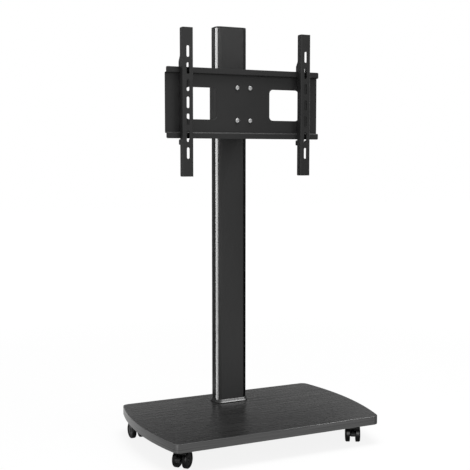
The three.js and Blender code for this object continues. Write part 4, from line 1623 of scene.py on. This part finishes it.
@dataclass
class Head(SubAssembly):
    """The tilting yoke, the folded cross plate and the two hanging arms.

    Attributes:
        yoke_relief: Width of the notches beside the yoke's folds.
        shelf_height: Distance over the cross plate's two shelves.
        window: Height and width of its windows.
        window_reach: Distance of their middles from the plate's.
        hook_drop: How far an arm's hook reaches down behind the lip.
        hook_rise: How far the hook stands above the lip.
        hook_play: Gap between the lip's top and the hook.
        slot_margin: Least distance from a slot's middle to the arm's end.
        tilt_limits: First and last angle of the tilt.
        stud_room: Half the width of the curved slots for the lock's stud.
    """

    carriage: Carriage
    yoke_sheet: float = 4 * MM
    yoke_bend: float = 3 * MM
    yoke_relief: float = 2 * MM
    cheek_radius: float = 9 * MM
    web_radius: float = 6 * MM
    plate_sheet: float = 2.5 * MM
    plate_bend: float = 1.5 * MM
    shelf_height: float = 180 * MM
    window: Point = (96 * MM, 104 * MM)
    window_radius: float = 12 * MM
    window_reach: float = 142 * MM
    bolt_hole: float = 4.4 * MM
    arm_sheet: float = 2 * MM
    arm_bend: float = 1.5 * MM
    hook_gap: float = 0.5 * MM
    hook_drop: float = 12 * MM
    hook_rise: float = 16 * MM
    hook_play: float = 0.3 * MM
    foot_gap: float = 3 * MM
    foot_height: float = 16 * MM
    tab: float = 3 * MM
    tab_hole: float = 2.8 * MM
    slot_radius: float = 4.3 * MM
    slot_length: float = 34 * MM
    slot_pitch: float = 50 * MM
    slot_margin: float = 20 * MM
    tilt_limits: Point = (-5, 12)
    stud_room: float = 4.4 * MM
    grip_height: float = 8 * MM
    grip_ridge: float = 0.5 * MM
    grip_ridges: int = 24
    stud_radius: float = 2.5 * MM

    def yoke(self) -> Solid:
        """Gives the yoke: a web on the cross plate and two cheeks with curved lock slots.

        Returns:
            The yoke.
        """
        box = Box.of("tilt_yoke")
        half = self.yoke_sheet / 2
        web = box.low.y + half
        legs = (box.size.x / 2 - half, box.high.y - web)
        sheet = FoldedSheet(self.yoke_sheet, self.yoke_bend, legs, (90,))
        pivot, lock = self.carriage.pivot(), self.carriage.lock()
        top, relief = pivot.z + self.carriage.ear_radius, self.yoke_relief
        bottom = lock.z - self.stud_room - self.cheek_radius
        notch, rim, tip = sheet.straights()[0] - 1 * MM, box.size.x / 2, sheet.unfolded(1, legs[1])
        right = [(rim, box.low.z), (rim, bottom - relief), (notch, bottom - relief), (notch, bottom)]
        right += [(tip, bottom), (tip, top), (notch, top), (notch, top + relief), (rim, top + relief)]
        right.append((rim, box.high.z))
        small = 0.8 * MM
        radii = [self.web_radius, small, small, small, self.cheek_radius]
        outline = filleted(right + mirrored(right), (radii + radii[::-1]) * 2, 6)
        holes = [circle(self.bolt_spot(i), self.bolt_hole, 20) for i in range(4)]
        drop = pivot.z - lock.z
        swing = math.degrees(math.asin(self.stud_room / drop))
        low, high = -90 - self.tilt_limits[1] - swing, -90 - self.tilt_limits[0] + swing
        band = arc((pivot.y, pivot.z), drop + self.stud_room, low, high, 14)
        band += arc((pivot.y, pivot.z), drop - self.stud_room, high, low, 14)
        band = filleted(band, 1 * MM, 2)
        for side in (-1, 1):
            holes.append(circle((side * sheet.unfolded(1, pivot.y - web), pivot.z), self.carriage.pivot_hole))
            holes.append([(side * sheet.unfolded(1, y - web), z) for y, z in band])
        place = placed(RIGHTWARD, UPWARD, REARWARD, (0, web, 0))
        return sheet.form(outline, holes, 0.5 * MM, place, (bottom - relief / 2, top + relief / 2))

    def bolt_spot(self, index: int) -> Point:
        """Gives where one of the four head bolts lies, seen from the front."""
        middle = Box.of(f"head_bolt_{index + 1}").middle
        return middle.x, middle.z

    def cross_plate(self) -> Solid:
        """Gives the cross plate: a web with two windows, two shelves and two lips.

        Returns:
            The plate.
        """
        box = Box.of("cross_plate")
        half = self.plate_sheet / 2
        web = box.high.y - half
        shelf = self.shelf_height / 2 - half
        lip = box.size.z / 2 - shelf
        legs = (shelf, web - box.low.y - half, lip)
        sheet = FoldedSheet(self.plate_sheet, self.plate_bend, legs, (90, -90))
        tip, reach = sheet.unfolded(2, lip), box.size.x / 2
        corners = [(-tip, -reach), (tip, -reach), (tip, reach), (-tip, reach)]
        middles = [(0, side.value * self.window_reach) for side in Side]
        holes = [rounded_rectangle(self.window, self.window_radius, middle) for middle in middles]
        centre = box.middle.z
        for i in range(4):
            x, z = self.bolt_spot(i)
            holes.append(circle((z - centre, x), self.bolt_hole, 20))
        place = placed(UPWARD, RIGHTWARD, -REARWARD, (0, web, centre))
        return sheet.form(filleted(corners, 4 * MM, 5), holes, 0.4 * MM, place)

    def arm(self, side: Side) -> Solid:
        """Gives one arm: a channel with mounting slots, a hook above and a foot with its tab.

        Args:
            side: Which of the two.

        Returns:
            The arm.
        """
        name = side.name.lower()
        box, cross = Box.of(f"arm_{name}"), Box.of("cross_plate")
        half = self.arm_sheet / 2
        web, middle, rear = box.low.y + half, box.middle, box.high.y
        sheet = FoldedSheet(self.arm_sheet, self.arm_bend, (box.size.x / 2 - half, rear - web), (90,))
        clear = cross.low.y - self.hook_gap
        lip, foot = cross.high.z, cross.low.z - self.foot_gap
        floor = foot - self.foot_height
        tongue = cross.low.y + self.plate_sheet + self.hook_gap
        flange = [(clear, box.low.z), (clear, floor), (rear, floor), (rear, foot), (clear, foot)]
        flange += [(clear, lip + self.hook_play), (tongue, lip + self.hook_play)]
        flange += [(tongue, lip - self.hook_drop), (rear, lip - self.hook_drop)]
        flange += [(rear, lip + self.hook_rise), (clear, lip + 2 * self.hook_rise), (clear, box.high.z)]
        right = [(sheet.unfolded(1, y - web), z) for y, z in flange]
        radii = [r * MM for r in (4, 3, 3, 3, 1.5, 1, 1, 2, 3, 4, 6, 4)]
        outline = filleted(right + mirrored(right), radii + radii[::-1], 4)
        count = math.floor((box.size.z / 2 - self.slot_margin) / self.slot_pitch)
        heights = [middle.z + i * self.slot_pitch for i in range(-count, count + 1)]
        holes = [upright_slot((0, height), self.slot_radius, self.slot_length) for height in heights]
        place = placed(RIGHTWARD, UPWARD, REARWARD, (middle.x, web, 0))
        solid = sheet.form(outline, holes, 0.4 * MM, place)
        screw = Box.of(f"arm_lock_screw_{name}").middle
        size = (box.size.x - 2 * self.arm_sheet - 0.1 * MM, rear - web - 2 * MM)
        tab = rounded_rectangle(size, 1.5 * MM, (middle.x, (rear + web) / 2))
        hole = circle(screw[:2], self.tab_hole, 20)
        return solid.plate(tab, (floor, floor + self.tab), 0.4 * MM, [hole])

    def lock_screw(self, side: Side) -> Solid:
        """Gives one knurled thumb screw under an arm.

        Args:
            side: Under which of the two.

        Returns:
            The screw.
        """
        box = Box.of(f"arm_lock_screw_{side.name.lower()}")
        top, radius, edge = self.grip_height, box.size.x / 2, 1 * MM
        profile = [(radius - edge, 0.0), *arc((radius - edge, edge), edge, -60, 0, 3)]
        profile += arc((radius - edge, top - edge), edge, 0, 90, 4)
        profile += [(radius * 0.5, top), (radius * 0.4, top - 0.5 * MM)]
        rim = radius - edge * 0.9

        def knurled(angle: float, reach: float, height: float) -> float:
            """Draws the rim in between the ridges."""
            share = 1 if reach > rim else 0
            return reach - self.grip_ridge * share * (1 - math.cos(self.grip_ridges * angle)) / 2

        place = along(-UPWARD, (box.middle.x, box.middle.y, box.low.z + top))
        solid = Solid().turned(profile, place, self.grip_ridges * 6, knurled)
        length, pitch, depth = box.size.z - top, 0.8 * MM, 0.4 * MM
        shape = ScrewShape(radius, top, self.stud_radius, length, 14 * MM, pitch=pitch, thread_depth=depth)
        shape.add_shank(solid, place)
        return solid

    def build(self) -> None:
        """Builds the yoke, the cross plate, the arms and what holds them."""
        self.put("yoke_folded", self.yoke(), Slot.STEEL, "head", "tilt_yoke")
        self.put("cross_plate_folded", self.cross_plate(), Slot.STEEL, "head", "cross_plate")
        web_front = Box.of("cross_plate").high.y - self.plate_sheet
        self.put_screws("head_screw", "head_bolt", "head", 1, web_front, 4 * MM, 8 * MM)
        for side in Side:
            arm = f"arm_{side.name.lower()}"
            screw = f"arm_lock_screw_{side.name.lower()}"
            self.put(f"{arm}_channel", self.arm(side), Slot.STEEL, arm, arm)
            self.put(f"{screw}_knurled", self.lock_screw(side), Slot.PLASTIC, screw, screw)


@dataclass
class Castor(SubAssembly):
    """One twin-wheel castor with its stem, hooded housing, wheels, axle and brake pedal.

    The castor's own frame has the stem along Z from the board's underside, the axle along X and
    the wheels trailing towards +Y.

    Attributes:
        trail: How far the axle trails the stem.
        dish: How far the disc lies back in the ring.
        cap: Thickness of the disc in front of the axle.
        hood: Inner and outer radius of the hood.
        hood_turn: First and last angle of the hood about the axle.
        hood_setback: How far the hood falls short of the wheels' outer faces.
        hood_crown: How far the hood drops towards its sides.
        pin: Radius and length of the stem's pin.
        flange: Radius and height of the stem's flange.
        lever_arm: Half the height of the brake lever's arm.
        rib_turns: Where the pedal's ribs lie on its round end.
        lever_lift: How far the free lever stands up.
        lever_room: Gap between the lever's hub and the body.
    """

    corner: Corner
    trail: float = 14 * MM
    wheel_radius: float = 25 * MM
    wheel_width: float = 13.5 * MM
    gap: float = 18 * MM
    tyre_shoulder: float = 4 * MM
    tyre_edge: float = 1.5 * MM
    disc_radius: float = 18.5 * MM
    dish: float = 1.2 * MM
    cap: float = 3 * MM
    hood: Point = (26.5 * MM, 29.5 * MM)
    hood_turn: Point = (46, 172)
    hood_setback: float = 3 * MM
    hood_crown: float = 0.8 * MM
    boss_radius: float = 8.5 * MM
    axle_boss: float = 9 * MM
    axle_radius: float = 3 * MM
    play: float = 0.3 * MM
    pin: Point = (4.5 * MM, 22 * MM)
    flange: Point = (11 * MM, 2 * MM)
    stem_core: float = 4 * MM
    lever_thickness: float = 8 * MM
    lever_hub: float = 8.5 * MM
    lever_arm: float = 4.5 * MM
    lever_reach: float = 28 * MM
    pad_start: float = 22 * MM
    pad_radius: float = 7.5 * MM
    pad_width: float = 15 * MM
    rib_radius: float = 0.7 * MM
    rib_turns: tuple[int, ...] = (20, 50, 80)
    lever_lift: float = 12
    lever_room: float = 0.8 * MM

    def __post_init__(self) -> None:
        """Finds the castor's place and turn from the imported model."""
        stem = Box.of(self.node("stem"))
        axis = joint(self.node("wheel_a_spin"))["axis"]
        board = Box.of("base_board").low.z
        self.place = Matrix.Translation((stem.middle.x, stem.middle.y, board))
        self.place @= Matrix.Rotation(math.atan2(axis[1], axis[0]), 4, "Z")
        self.axle = Vector((0, self.trail, self.wheel_radius - board))

    def node(self, part: str) -> str:
        """Gives the name of one of the castor's nodes."""
        return f"castor_{self.corner.value}_{part}"

    def sideways(self, side: int = 1) -> Matrix:
        """Gives the matrix whose local Z runs along the axle, to one side, from its middle."""
        return self.place @ placed(REARWARD, UPWARD * side, RIGHTWARD * side, self.axle)

    def add_hood(self, solid: Solid) -> None:
        """Adds the curved hood over both wheels, crowned across and with rounded ends.

        Args:
            solid: What collects the hood.
        """
        (inner, outer), (first, last) = self.hood, self.hood_turn
        thick, steps = outer - inner, 36
        half = self.gap / 2 + self.wheel_width - self.hood_setback
        section = rounded_rectangle((2 * half, thick), thick * 0.45, (0, 0), 4)
        tip = math.degrees(thick / 2 / outer)
        ends = [(tip * math.cos(QUARTER * i / 3), math.sin(QUARTER * i / 3)) for i in (1, 2)]
        turns = [first + (last - first) * i / steps for i in range(steps + 1)]
        stations = [(first + tip - shift, scale) for shift, scale in ends]
        stations += [(turn, 1.0) for turn in turns if first + tip <= turn <= last - tip]
        stations += [(last - tip + shift, scale) for shift, scale in reversed(ends)]
        rings = []
        for turn, scale in stations:
            angle = math.radians(turn)
            ring = []
            for x, rise in section:
                crown = self.hood_crown * (x / half) ** 2
                reach = (inner + outer) / 2 + rise * scale - crown
                spot = (x, self.axle.y + reach * math.cos(angle), self.axle.z + reach * math.sin(angle))
                ring.append(self.place @ Vector(spot))
            rings.append(ring)
        solid.skin(rings)

    def housing(self) -> Solid:
        """Gives the housing: hood, two cheeks round the brake's hub, the body and the stem boss.

        Returns:
            The housing.
        """
        solid = Solid()
        self.add_hood(solid)
        middle, reach = (self.axle.y, self.axle.z), sum(self.hood) / 2
        pin, pin_length = self.pin
        top, floor = -self.flange[1] - self.play, -self.flange[1] - pin_length
        boss, start = self.boss_radius, self.hood_turn[0]
        front = [(-boss, self.axle.z + reach), (-boss, floor)]
        crest = arc(middle, reach, start, 90, 8)
        cheek = [*front, *arc(middle, self.axle_boss, -135, start, 12), *crest]
        body = [*front, *arc(middle, self.lever_hub + self.lever_room, 225, start, 16), *crest]
        place = self.place @ placed(REARWARD, UPWARD, RIGHTWARD)
        outer, inner = self.gap / 2 - 1 * MM, self.lever_thickness / 2 + 0.5 * MM
        for heights in ((inner, outer), (-outer, -inner)):
            solid.plate(cheek, heights, 0.9 * MM, place=place)
        solid.plate(body, (-inner, inner), 0.1 * MM, place=place, steps=1)
        rim, edge = 1 * MM, 0.8 * MM
        profile = arc((boss - rim, floor - 2 * MM), rim, -90, 0, 4)
        profile += arc((boss - edge, top - edge), edge, 0, 90, 4)
        profile += [(pin + self.play, top), (pin + self.play, floor)]
        return solid.turned(profile, self.place, 36)

    def tyre(self, side: int) -> Solid:
        """Gives the outer ring of a wheel, with its rounded shoulders.

        Args:
            side: 1 or -1 along the axle.

        Returns:
            The ring.
        """
        inner, outer = self.gap / 2, self.gap / 2 + self.wheel_width
        radius, shoulder, edge, small = self.wheel_radius, self.tyre_shoulder, self.tyre_edge, 0.8 * MM
        seat = self.disc_radius + 0.1 * MM
        profile = [(seat, inner), (radius - edge, inner)]
        profile += arc((radius - edge, inner + edge), edge, -60, 0, 3)
        profile += arc((radius - shoulder, outer - shoulder), shoulder, 0, 90, 8)
        profile += [(seat + small, outer), (seat, outer - small)]
        return Solid().turned(profile, self.sideways(side), 72, looped=True)

    def disc(self, side: int) -> Solid:
        """Gives the dished disc inside a wheel's ring, with its groove and hub cap.

        Args:
            side: 1 or -1 along the axle.

        Returns:
            The disc.
        """
        inner, outer = self.gap / 2, self.gap / 2 + self.wheel_width
        seat, bore, face = self.disc_radius, self.axle_radius + self.play, outer - self.dish
        groove = ((0.5, 0), (1.4, 0), (1.7, 0.5), (2.4, 0.5), (2.7, 0))
        profile = [(bore, outer - self.cap), (bore, inner), (seat, inner), (seat, face - 0.4 * MM)]
        profile += [(seat - inset * MM, face - depth * MM) for inset, depth in groove]
        profile += [(9.5 * MM, face - 0.4 * MM), (7.2 * MM, face - 0.2 * MM)]
        profile += arc((5.2 * MM, outer - 1.4 * MM), 1.3 * MM, 0, 90, 4)
        profile.append((2.2 * MM, outer))
        return Solid().turned(profile, self.sideways(side), 72)

    def lever(self) -> Solid:
        """Gives the brake lever: a hub on the axle, an arm and a ribbed pedal.

        Returns:
            The lever.
        """
        place = self.sideways() @ Matrix.Rotation(math.radians(self.lever_lift), 4, "Z")
        half, arm, hub, reach = self.lever_thickness / 2, self.lever_arm, self.lever_hub, self.lever_reach
        swing = math.degrees(math.asin(arm / hub))
        outline = [*arc((0, 0), hub, swing, 360 - swing, 30), (reach, -arm), (reach, arm)]
        bore = circle((0, 0), self.axle_radius + self.play)
        solid = Solid().plate(outline, (-half, half), 0.8 * MM, [bore], place)
        start, radius, width = self.pad_start, self.pad_radius, self.pad_width
        pad = [(start, -radius), *arc((reach, 0), radius, -90, 90, 16), (start, radius)]
        solid.plate(pad, (-width / 2, width / 2), 1.6 * MM, place=place, steps=5)
        rib, edge, length = self.rib_radius, self.rib_radius * 0.6, width - 4 * MM
        profile = [(rib - edge, 0.0), (rib, edge), (rib, length - edge), (rib - edge, length)]
        sunk = radius - rib / 2
        for turn in self.rib_turns:
            angle = math.radians(turn)
            spot = (reach + sunk * math.cos(angle), sunk * math.sin(angle), -length / 2)
            solid.turned(profile, place @ Matrix.Translation(spot), 12)
        return solid

    def stem(self) -> Solid:
        """Gives the stem: pin below, flange on the board and thread above.

        Returns:
            The stem.
        """
        (pin, pin_length), (flange, height) = self.pin, self.flange
        foot, edge = -height - pin_length, 0.5 * MM
        profile = [(pin - edge, foot), (pin, foot + edge), (pin, -height)]
        profile += arc((flange - edge, edge - height), edge, -90, 0, 3)
        profile += arc((flange - edge, -edge), edge, 0, 90, 3)
        core, pitch, depth = self.stem_core, 1.25 * MM, 0.5 * MM
        thread = Box.of(self.node("stem")).high.z - self.place.translation.z
        count = round(thread / pitch * RINGS_PER_TURN)
        profile += [(core, thread * i / count) for i in range(count)]
        profile.append((core - depth, thread))
        return Solid().turned(profile, self.place, 24, threaded(pitch, depth, 0.2 * MM, thread - depth))

    def build(self) -> None:
        """Builds the castor's pieces."""
        body = f"castor_{self.corner.value}"
        self.put(self.node("stem_turned"), self.stem(), Slot.ZINC, "base", self.node("stem"))
        self.put(self.node("housing_moulding"), self.housing(), Slot.PLASTIC, body, self.node("housing"))
        reach, edge = self.gap / 2 + self.wheel_width - self.cap - self.play, 0.5 * MM
        profile = [(self.axle_radius - edge, -reach), (self.axle_radius, edge - reach)]
        profile += [(radius, -height) for radius, height in reversed(profile)]
        axle = Solid().turned(profile, self.sideways())
        self.put(self.node("axle_pin"), axle, Slot.ZINC, body, self.node("axle"))
        for name, side in (("wheel_a", 1), ("wheel_b", -1)):
            node = self.node(name)
            self.put(f"{node}_tyre", self.tyre(side), Slot.NYLON, node, node)
            self.put(f"{node}_disc", self.disc(side), Slot.NYLON, node)
        brake = self.node("brake")
        self.put(f"{brake}_pedal", self.lever(), Slot.PLASTIC, brake, self.node("brake_lever"))


@dataclass(frozen=True)
class SoftBox:
    """A rectangular studio light.

    Attributes:
        radiance: Brightness of its face, where 1 is a white surface.
        only_on: Words. With them, the light shows only in the gloss of the pieces whose names
            hold one, and without any it lights everything.
    """

    name: str
    spot: tuple[float, float, float]
    aim: tuple[float, float, float]
    size: Point
    radiance: float
    only_on: tuple[str, ...] = ()

    def build(self) -> None:
        """Adds the light to the scene."""
        data = bpy.data.lights.new(self.name, "AREA")
        data.shape = "RECTANGLE"
        data.size, data.size_y = self.size
        data.energy = LAMP_POWER * self.size[0] * self.size[1] * self.radiance
        lamp = bpy.data.objects.new(self.name, data)
        lamp.location = self.spot
        direction = Vector(self.aim) - Vector(self.spot)
        lamp.rotation_euler = direction.to_track_quat("-Z", "Y").to_euler()
        lamp.visible_camera = False
        lamp.visible_diffuse = not self.only_on
        bpy.context.scene.collection.objects.link(lamp)

    def choose(self, pieces: Iterable[bpy.types.Object]) -> None:
        """Keeps the light to the pieces that its words name.

        Args:
            pieces: Every piece of the stand.
        """
        if not self.only_on:
            return
        chosen = bpy.data.collections.new(f"lit_by_{self.name}")
        for piece in pieces:
            if any(word in piece.name for word in self.only_on):
                chosen.objects.link(piece)
        bpy.data.objects[self.name].light_linking.receiver_collection = chosen


COLUMN = ("column_extrusion",)
BANDING = ("edge_banding",)
TRIM = ("foot_trim_moulding",)
CASTORS = ("_stem_turned", "_housing_moulding", "_axle_pin", "_wheel_")
BLACK_PARTS = ("sleeve", "height_knob", "tilt", "cross", "arm", "cable", "castor", "yoke", "end_cap")
LIGHTS = (
    SoftBox("overhead", (0.1, -0.3, 2.9), (0, 0, 0.1), (1.8, 1.2), 7.0),
    SoftBox("left_panel", (-2.94, 0.93, 1.55), (-0.05, 0.12, 0.6), (4.4, 3.4), 16.5, COLUMN),
    SoftBox("strip_panel", (-0.25, 0.18, 0.15), (-0.05, 0.11, 0.14), (0.08, 0.12), 11.0, COLUMN),
    SoftBox("face_panel", (0.15, -0.22, 0.15), (0.0, 0.09, 0.13), (0.3, 0.12), 1.25, COLUMN),
    SoftBox("corner_panel", (-0.54, -0.37, 0.06), (-0.34, -0.21, 0.09), (0.08, 0.1), 7.0, BANDING),
    SoftBox("edge_panel", (0.45, -0.27, 0.5), (0.26, -0.23, 0.1), (0.34, 0.34), 14.0, BANDING),
    SoftBox("front_panel", (-0.9, -2.2, 0.7), (0.0, -0.2, 0.05), (1.5, 0.9), 14.0, CASTORS),
    SoftBox("right_panel", (1.39, -0.66, 2.5), (0, 0.1, 0.1), (2.0, 1.6), 22.0, TRIM),
    SoftBox("rear_panel", (0.5, 1.3, 1.3), (0, 0.1, 0.9), (1.3, 1.1), 1.6, BLACK_PARTS),
    SoftBox("side_panel", (1.3, 0.2, 1.2), (0, 0.1, 0.9), (0.9, 1.2), 1.2, BLACK_PARTS),
)


@dataclass(frozen=True)
class Flag:
    """A dark cloth that lies round the column and rises to an upright wall at its far edge.

    Attributes:
        bearings: First and last bearing from the centre, clockwise from the rear.
        reach: Distance from the centre to the wall.
        centre: Where the bearings are taken from, under the column.
    """

    name: str
    bearings: Point
    reach: float
    height: float
    start: float = 0.42
    centre: Point = (0.0, 0.14)
    lift: float = 0.002
    steps: int = 12

    def build(self, cloth: bpy.types.Material) -> None:
        """Adds the flag to the scene, where only gloss shows it.

        Args:
            cloth: The material of the flag.
        """
        low, high = self.bearings
        turns = [math.radians(low + (high - low) * i / self.steps) for i in range(self.steps + 1)]
        rows = ((self.start, self.lift), (self.reach, self.lift), (self.reach, self.height))
        points = [
            (self.centre[0] + reach * math.sin(turn), self.centre[1] + reach * math.cos(turn), z)
            for turn in turns
            for reach, z in rows
        ]
        corners = [3 * i + k for i in range(self.steps) for k in range(2)]
        mesh = bpy.data.meshes.new(self.name)
        mesh.from_pydata(points, [], [(a, a + 3, a + 4, a + 1) for a in corners])
        mesh.materials.append(cloth)
        flag = bpy.data.objects.new(self.name, mesh)
        bpy.context.scene.collection.objects.link(flag)
        flag.visible_camera = flag.visible_diffuse = flag.visible_shadow = False
        flag.visible_transmission = False


FLAGS = (
    Flag("left_flag", (-40, -14), 1.5, 1.7, start=0.45),
    Flag("left_low_flag", (-118, -68), 0.62, 0.16, start=0.58),
    Flag("far_right_flag", (20, 58), 5.0, 0.65),
    Flag("right_flag", (58, 140), 1.6, 1.5),
    Flag("front_right_flag", (140, 146), 1.6, 1.5, start=1.3),
    Flag("high_flag", (-5, 60), 0.85, 2.0, start=0.84, lift=0.4),
)


@dataclass
class Studio:
    """The pale floor, the white surroundings, the lights and the camera.

    Attributes:
        camera_turn: The camera's yaw to the right of the rear direction, and its pitch below level.
        ambient: Light on matt surfaces from all around.
        shadow: Share of the floor's own shading in what the camera sees of it.
        floor_white: Brightness of the floor where it shows plain white.
        shadow_reach: Distances over which that shading fades.
        gloss_reach: Distances over which the floor grows white in gloss.
        gloss_share: How white it is in gloss near the stand.
    """

    camera_spot: tuple[float, float, float] = (-1.2586, -2.5364, 0.8806)
    camera_turn: Point = (25.57, 4.84)
    focal_length: float = 70.31
    sensor: float = 36.0
    ambient: float = 0.45
    shadow: float = 0.14
    floor_white: float = 1.02
    floor_reach: float = 12.0
    floor_tones: Point = (0.86, 0.88)
    shadow_reach: Point = (0.9, 2.8)
    gloss_reach: Point = (0.4, 0.7)
    gloss_share: float = 0.2

    def build_camera(self) -> None:
        """Adds the camera at the photograph's viewpoint."""
        data = bpy.data.cameras.new("viewpoint")
        data.lens, data.sensor_width = self.focal_length, self.sensor
        camera = bpy.data.objects.new("viewpoint", data)
        yaw, pitch = (math.radians(angle) for angle in self.camera_turn)
        camera.location = self.camera_spot
        camera.rotation_euler = (QUARTER - pitch, 0, -yaw)
        bpy.context.scene.collection.objects.link(camera)
        bpy.context.scene.camera = camera

    def seen_directly(self, graph: Graph, in_gloss: Any = 1.0) -> Any:
        """Gives how much of the plain white a ray sees.

        Args:
            graph: The tree that the nodes go into.
            in_gloss: The share for glossy rays.

        Returns:
            1 for camera and transmitted rays, that share for glossy ones and 0 for the rest.
        """
        path = graph.add("ShaderNodeLightPath").outputs
        glossy = graph.math("MULTIPLY", path["Is Glossy Ray"], in_gloss)
        direct = graph.math("MAXIMUM", path["Is Camera Ray"], glossy)
        return graph.math("MAXIMUM", direct, path["Is Transmission Ray"])

    def build_surroundings(self) -> None:
        """Makes the world white to the eye and softer as a light."""
        world = bpy.data.worlds.new("surroundings")
        graph = Graph.of(world)
        strength = graph.spread(self.seen_directly(graph), 0.0, 1.0, self.ambient, 1.0)
        light = graph.add("ShaderNodeBackground", {"Color": (1, 1, 1, 1), "Strength": strength})
        graph.add("ShaderNodeOutputWorld", {"Surface": light.outputs[0]})
        bpy.context.scene.world = world

    def pale_floor(self) -> bpy.types.Material:
        """Gives the material of the floor, which shows white and keeps a faint shadow.

        Returns:
            The new material.
        """
        material = bpy.data.materials.new("pale_floor")
        graph = Graph.of(material)
        mottle = graph.spread(graph.noise(graph.place(), 2.0, 3), 0.3, 0.7)
        colour = graph.blend(mottle, *(grey(tone) for tone in self.floor_tones))
        matt = graph.add("ShaderNodeBsdfDiffuse", {"Color": colour})
        white = graph.add("ShaderNodeEmission", {"Color": (1, 1, 1, 1), "Strength": self.floor_white})
        away = graph.vectors("LENGTH", {0: graph.place()})["Value"]
        plain = graph.spread(away, *self.shadow_reach, 1 - self.shadow, 1.0)
        in_gloss = graph.spread(away, *self.gloss_reach, self.gloss_share, 1.0)
        share = graph.math("MULTIPLY", self.seen_directly(graph, in_gloss), plain)
        mixed = graph.add("ShaderNodeMixShader", {0: share, 1: matt.outputs[0], 2: white.outputs[0]})
        graph.add("ShaderNodeOutputMaterial", {"Surface": mixed.outputs[0]})
        return material

    def build_floor(self) -> None:
        """Adds the pale floor."""
        reach = self.floor_reach
        corners = [(-reach, -reach, 0), (reach, -reach, 0), (reach, reach, 0), (-reach, reach, 0)]
        mesh = bpy.data.meshes.new("floor")
        mesh.from_pydata(corners, [], [(0, 1, 2, 3)])
        mesh.materials.append(self.pale_floor())
        floor = bpy.data.objects.new("floor", mesh)
        bpy.context.scene.collection.objects.link(floor)

    def dark_cloth(self) -> bpy.types.Material:
        """Gives the dark cloth of the flags.

        Returns:
            The new material.
        """
        material = bpy.data.materials.new("dark_cloth")
        graph = Graph.of(material)
        weave = graph.noise(graph.place(), 60.0, 2)
        matt = graph.add("ShaderNodeBsdfDiffuse", {"Color": graph.blend(weave, grey(0.002), grey(0.006))})
        graph.add("ShaderNodeOutputMaterial", {"Surface": matt.outputs[0]})
        return material

    def build(self) -> None:
        """Builds the whole studio, with the lights not yet kept to their pieces."""
        bpy.context.scene.view_settings.view_transform = "Standard"
        self.build_camera()
        self.build_surroundings()
        self.build_floor()
        for light in LIGHTS:
            light.build()
        cloth = self.dark_cloth()
        for flag in FLAGS:
            flag.build(cloth)


def main() -> None:
    """Builds the studio and the stand's sub-assemblies in order."""
    logging.basicConfig(level=logging.INFO, format="%(name)s: %(message)s")
    Studio().build()
    effects = Effects()
    SubAssembly.materials = {finish.slot: finish.build(effects) for finish in FINISHES}
    column = Column()
    carriage = Carriage(column)
    assemblies = [BaseBoard(), column, carriage, Head(carriage), *(Castor(corner) for corner in Corner)]
    for assembly in assemblies:
        assembly.build()
    for light in LIGHTS:
        light.choose(SubAssembly.pieces)


if __name__ == "__main__":
    main()
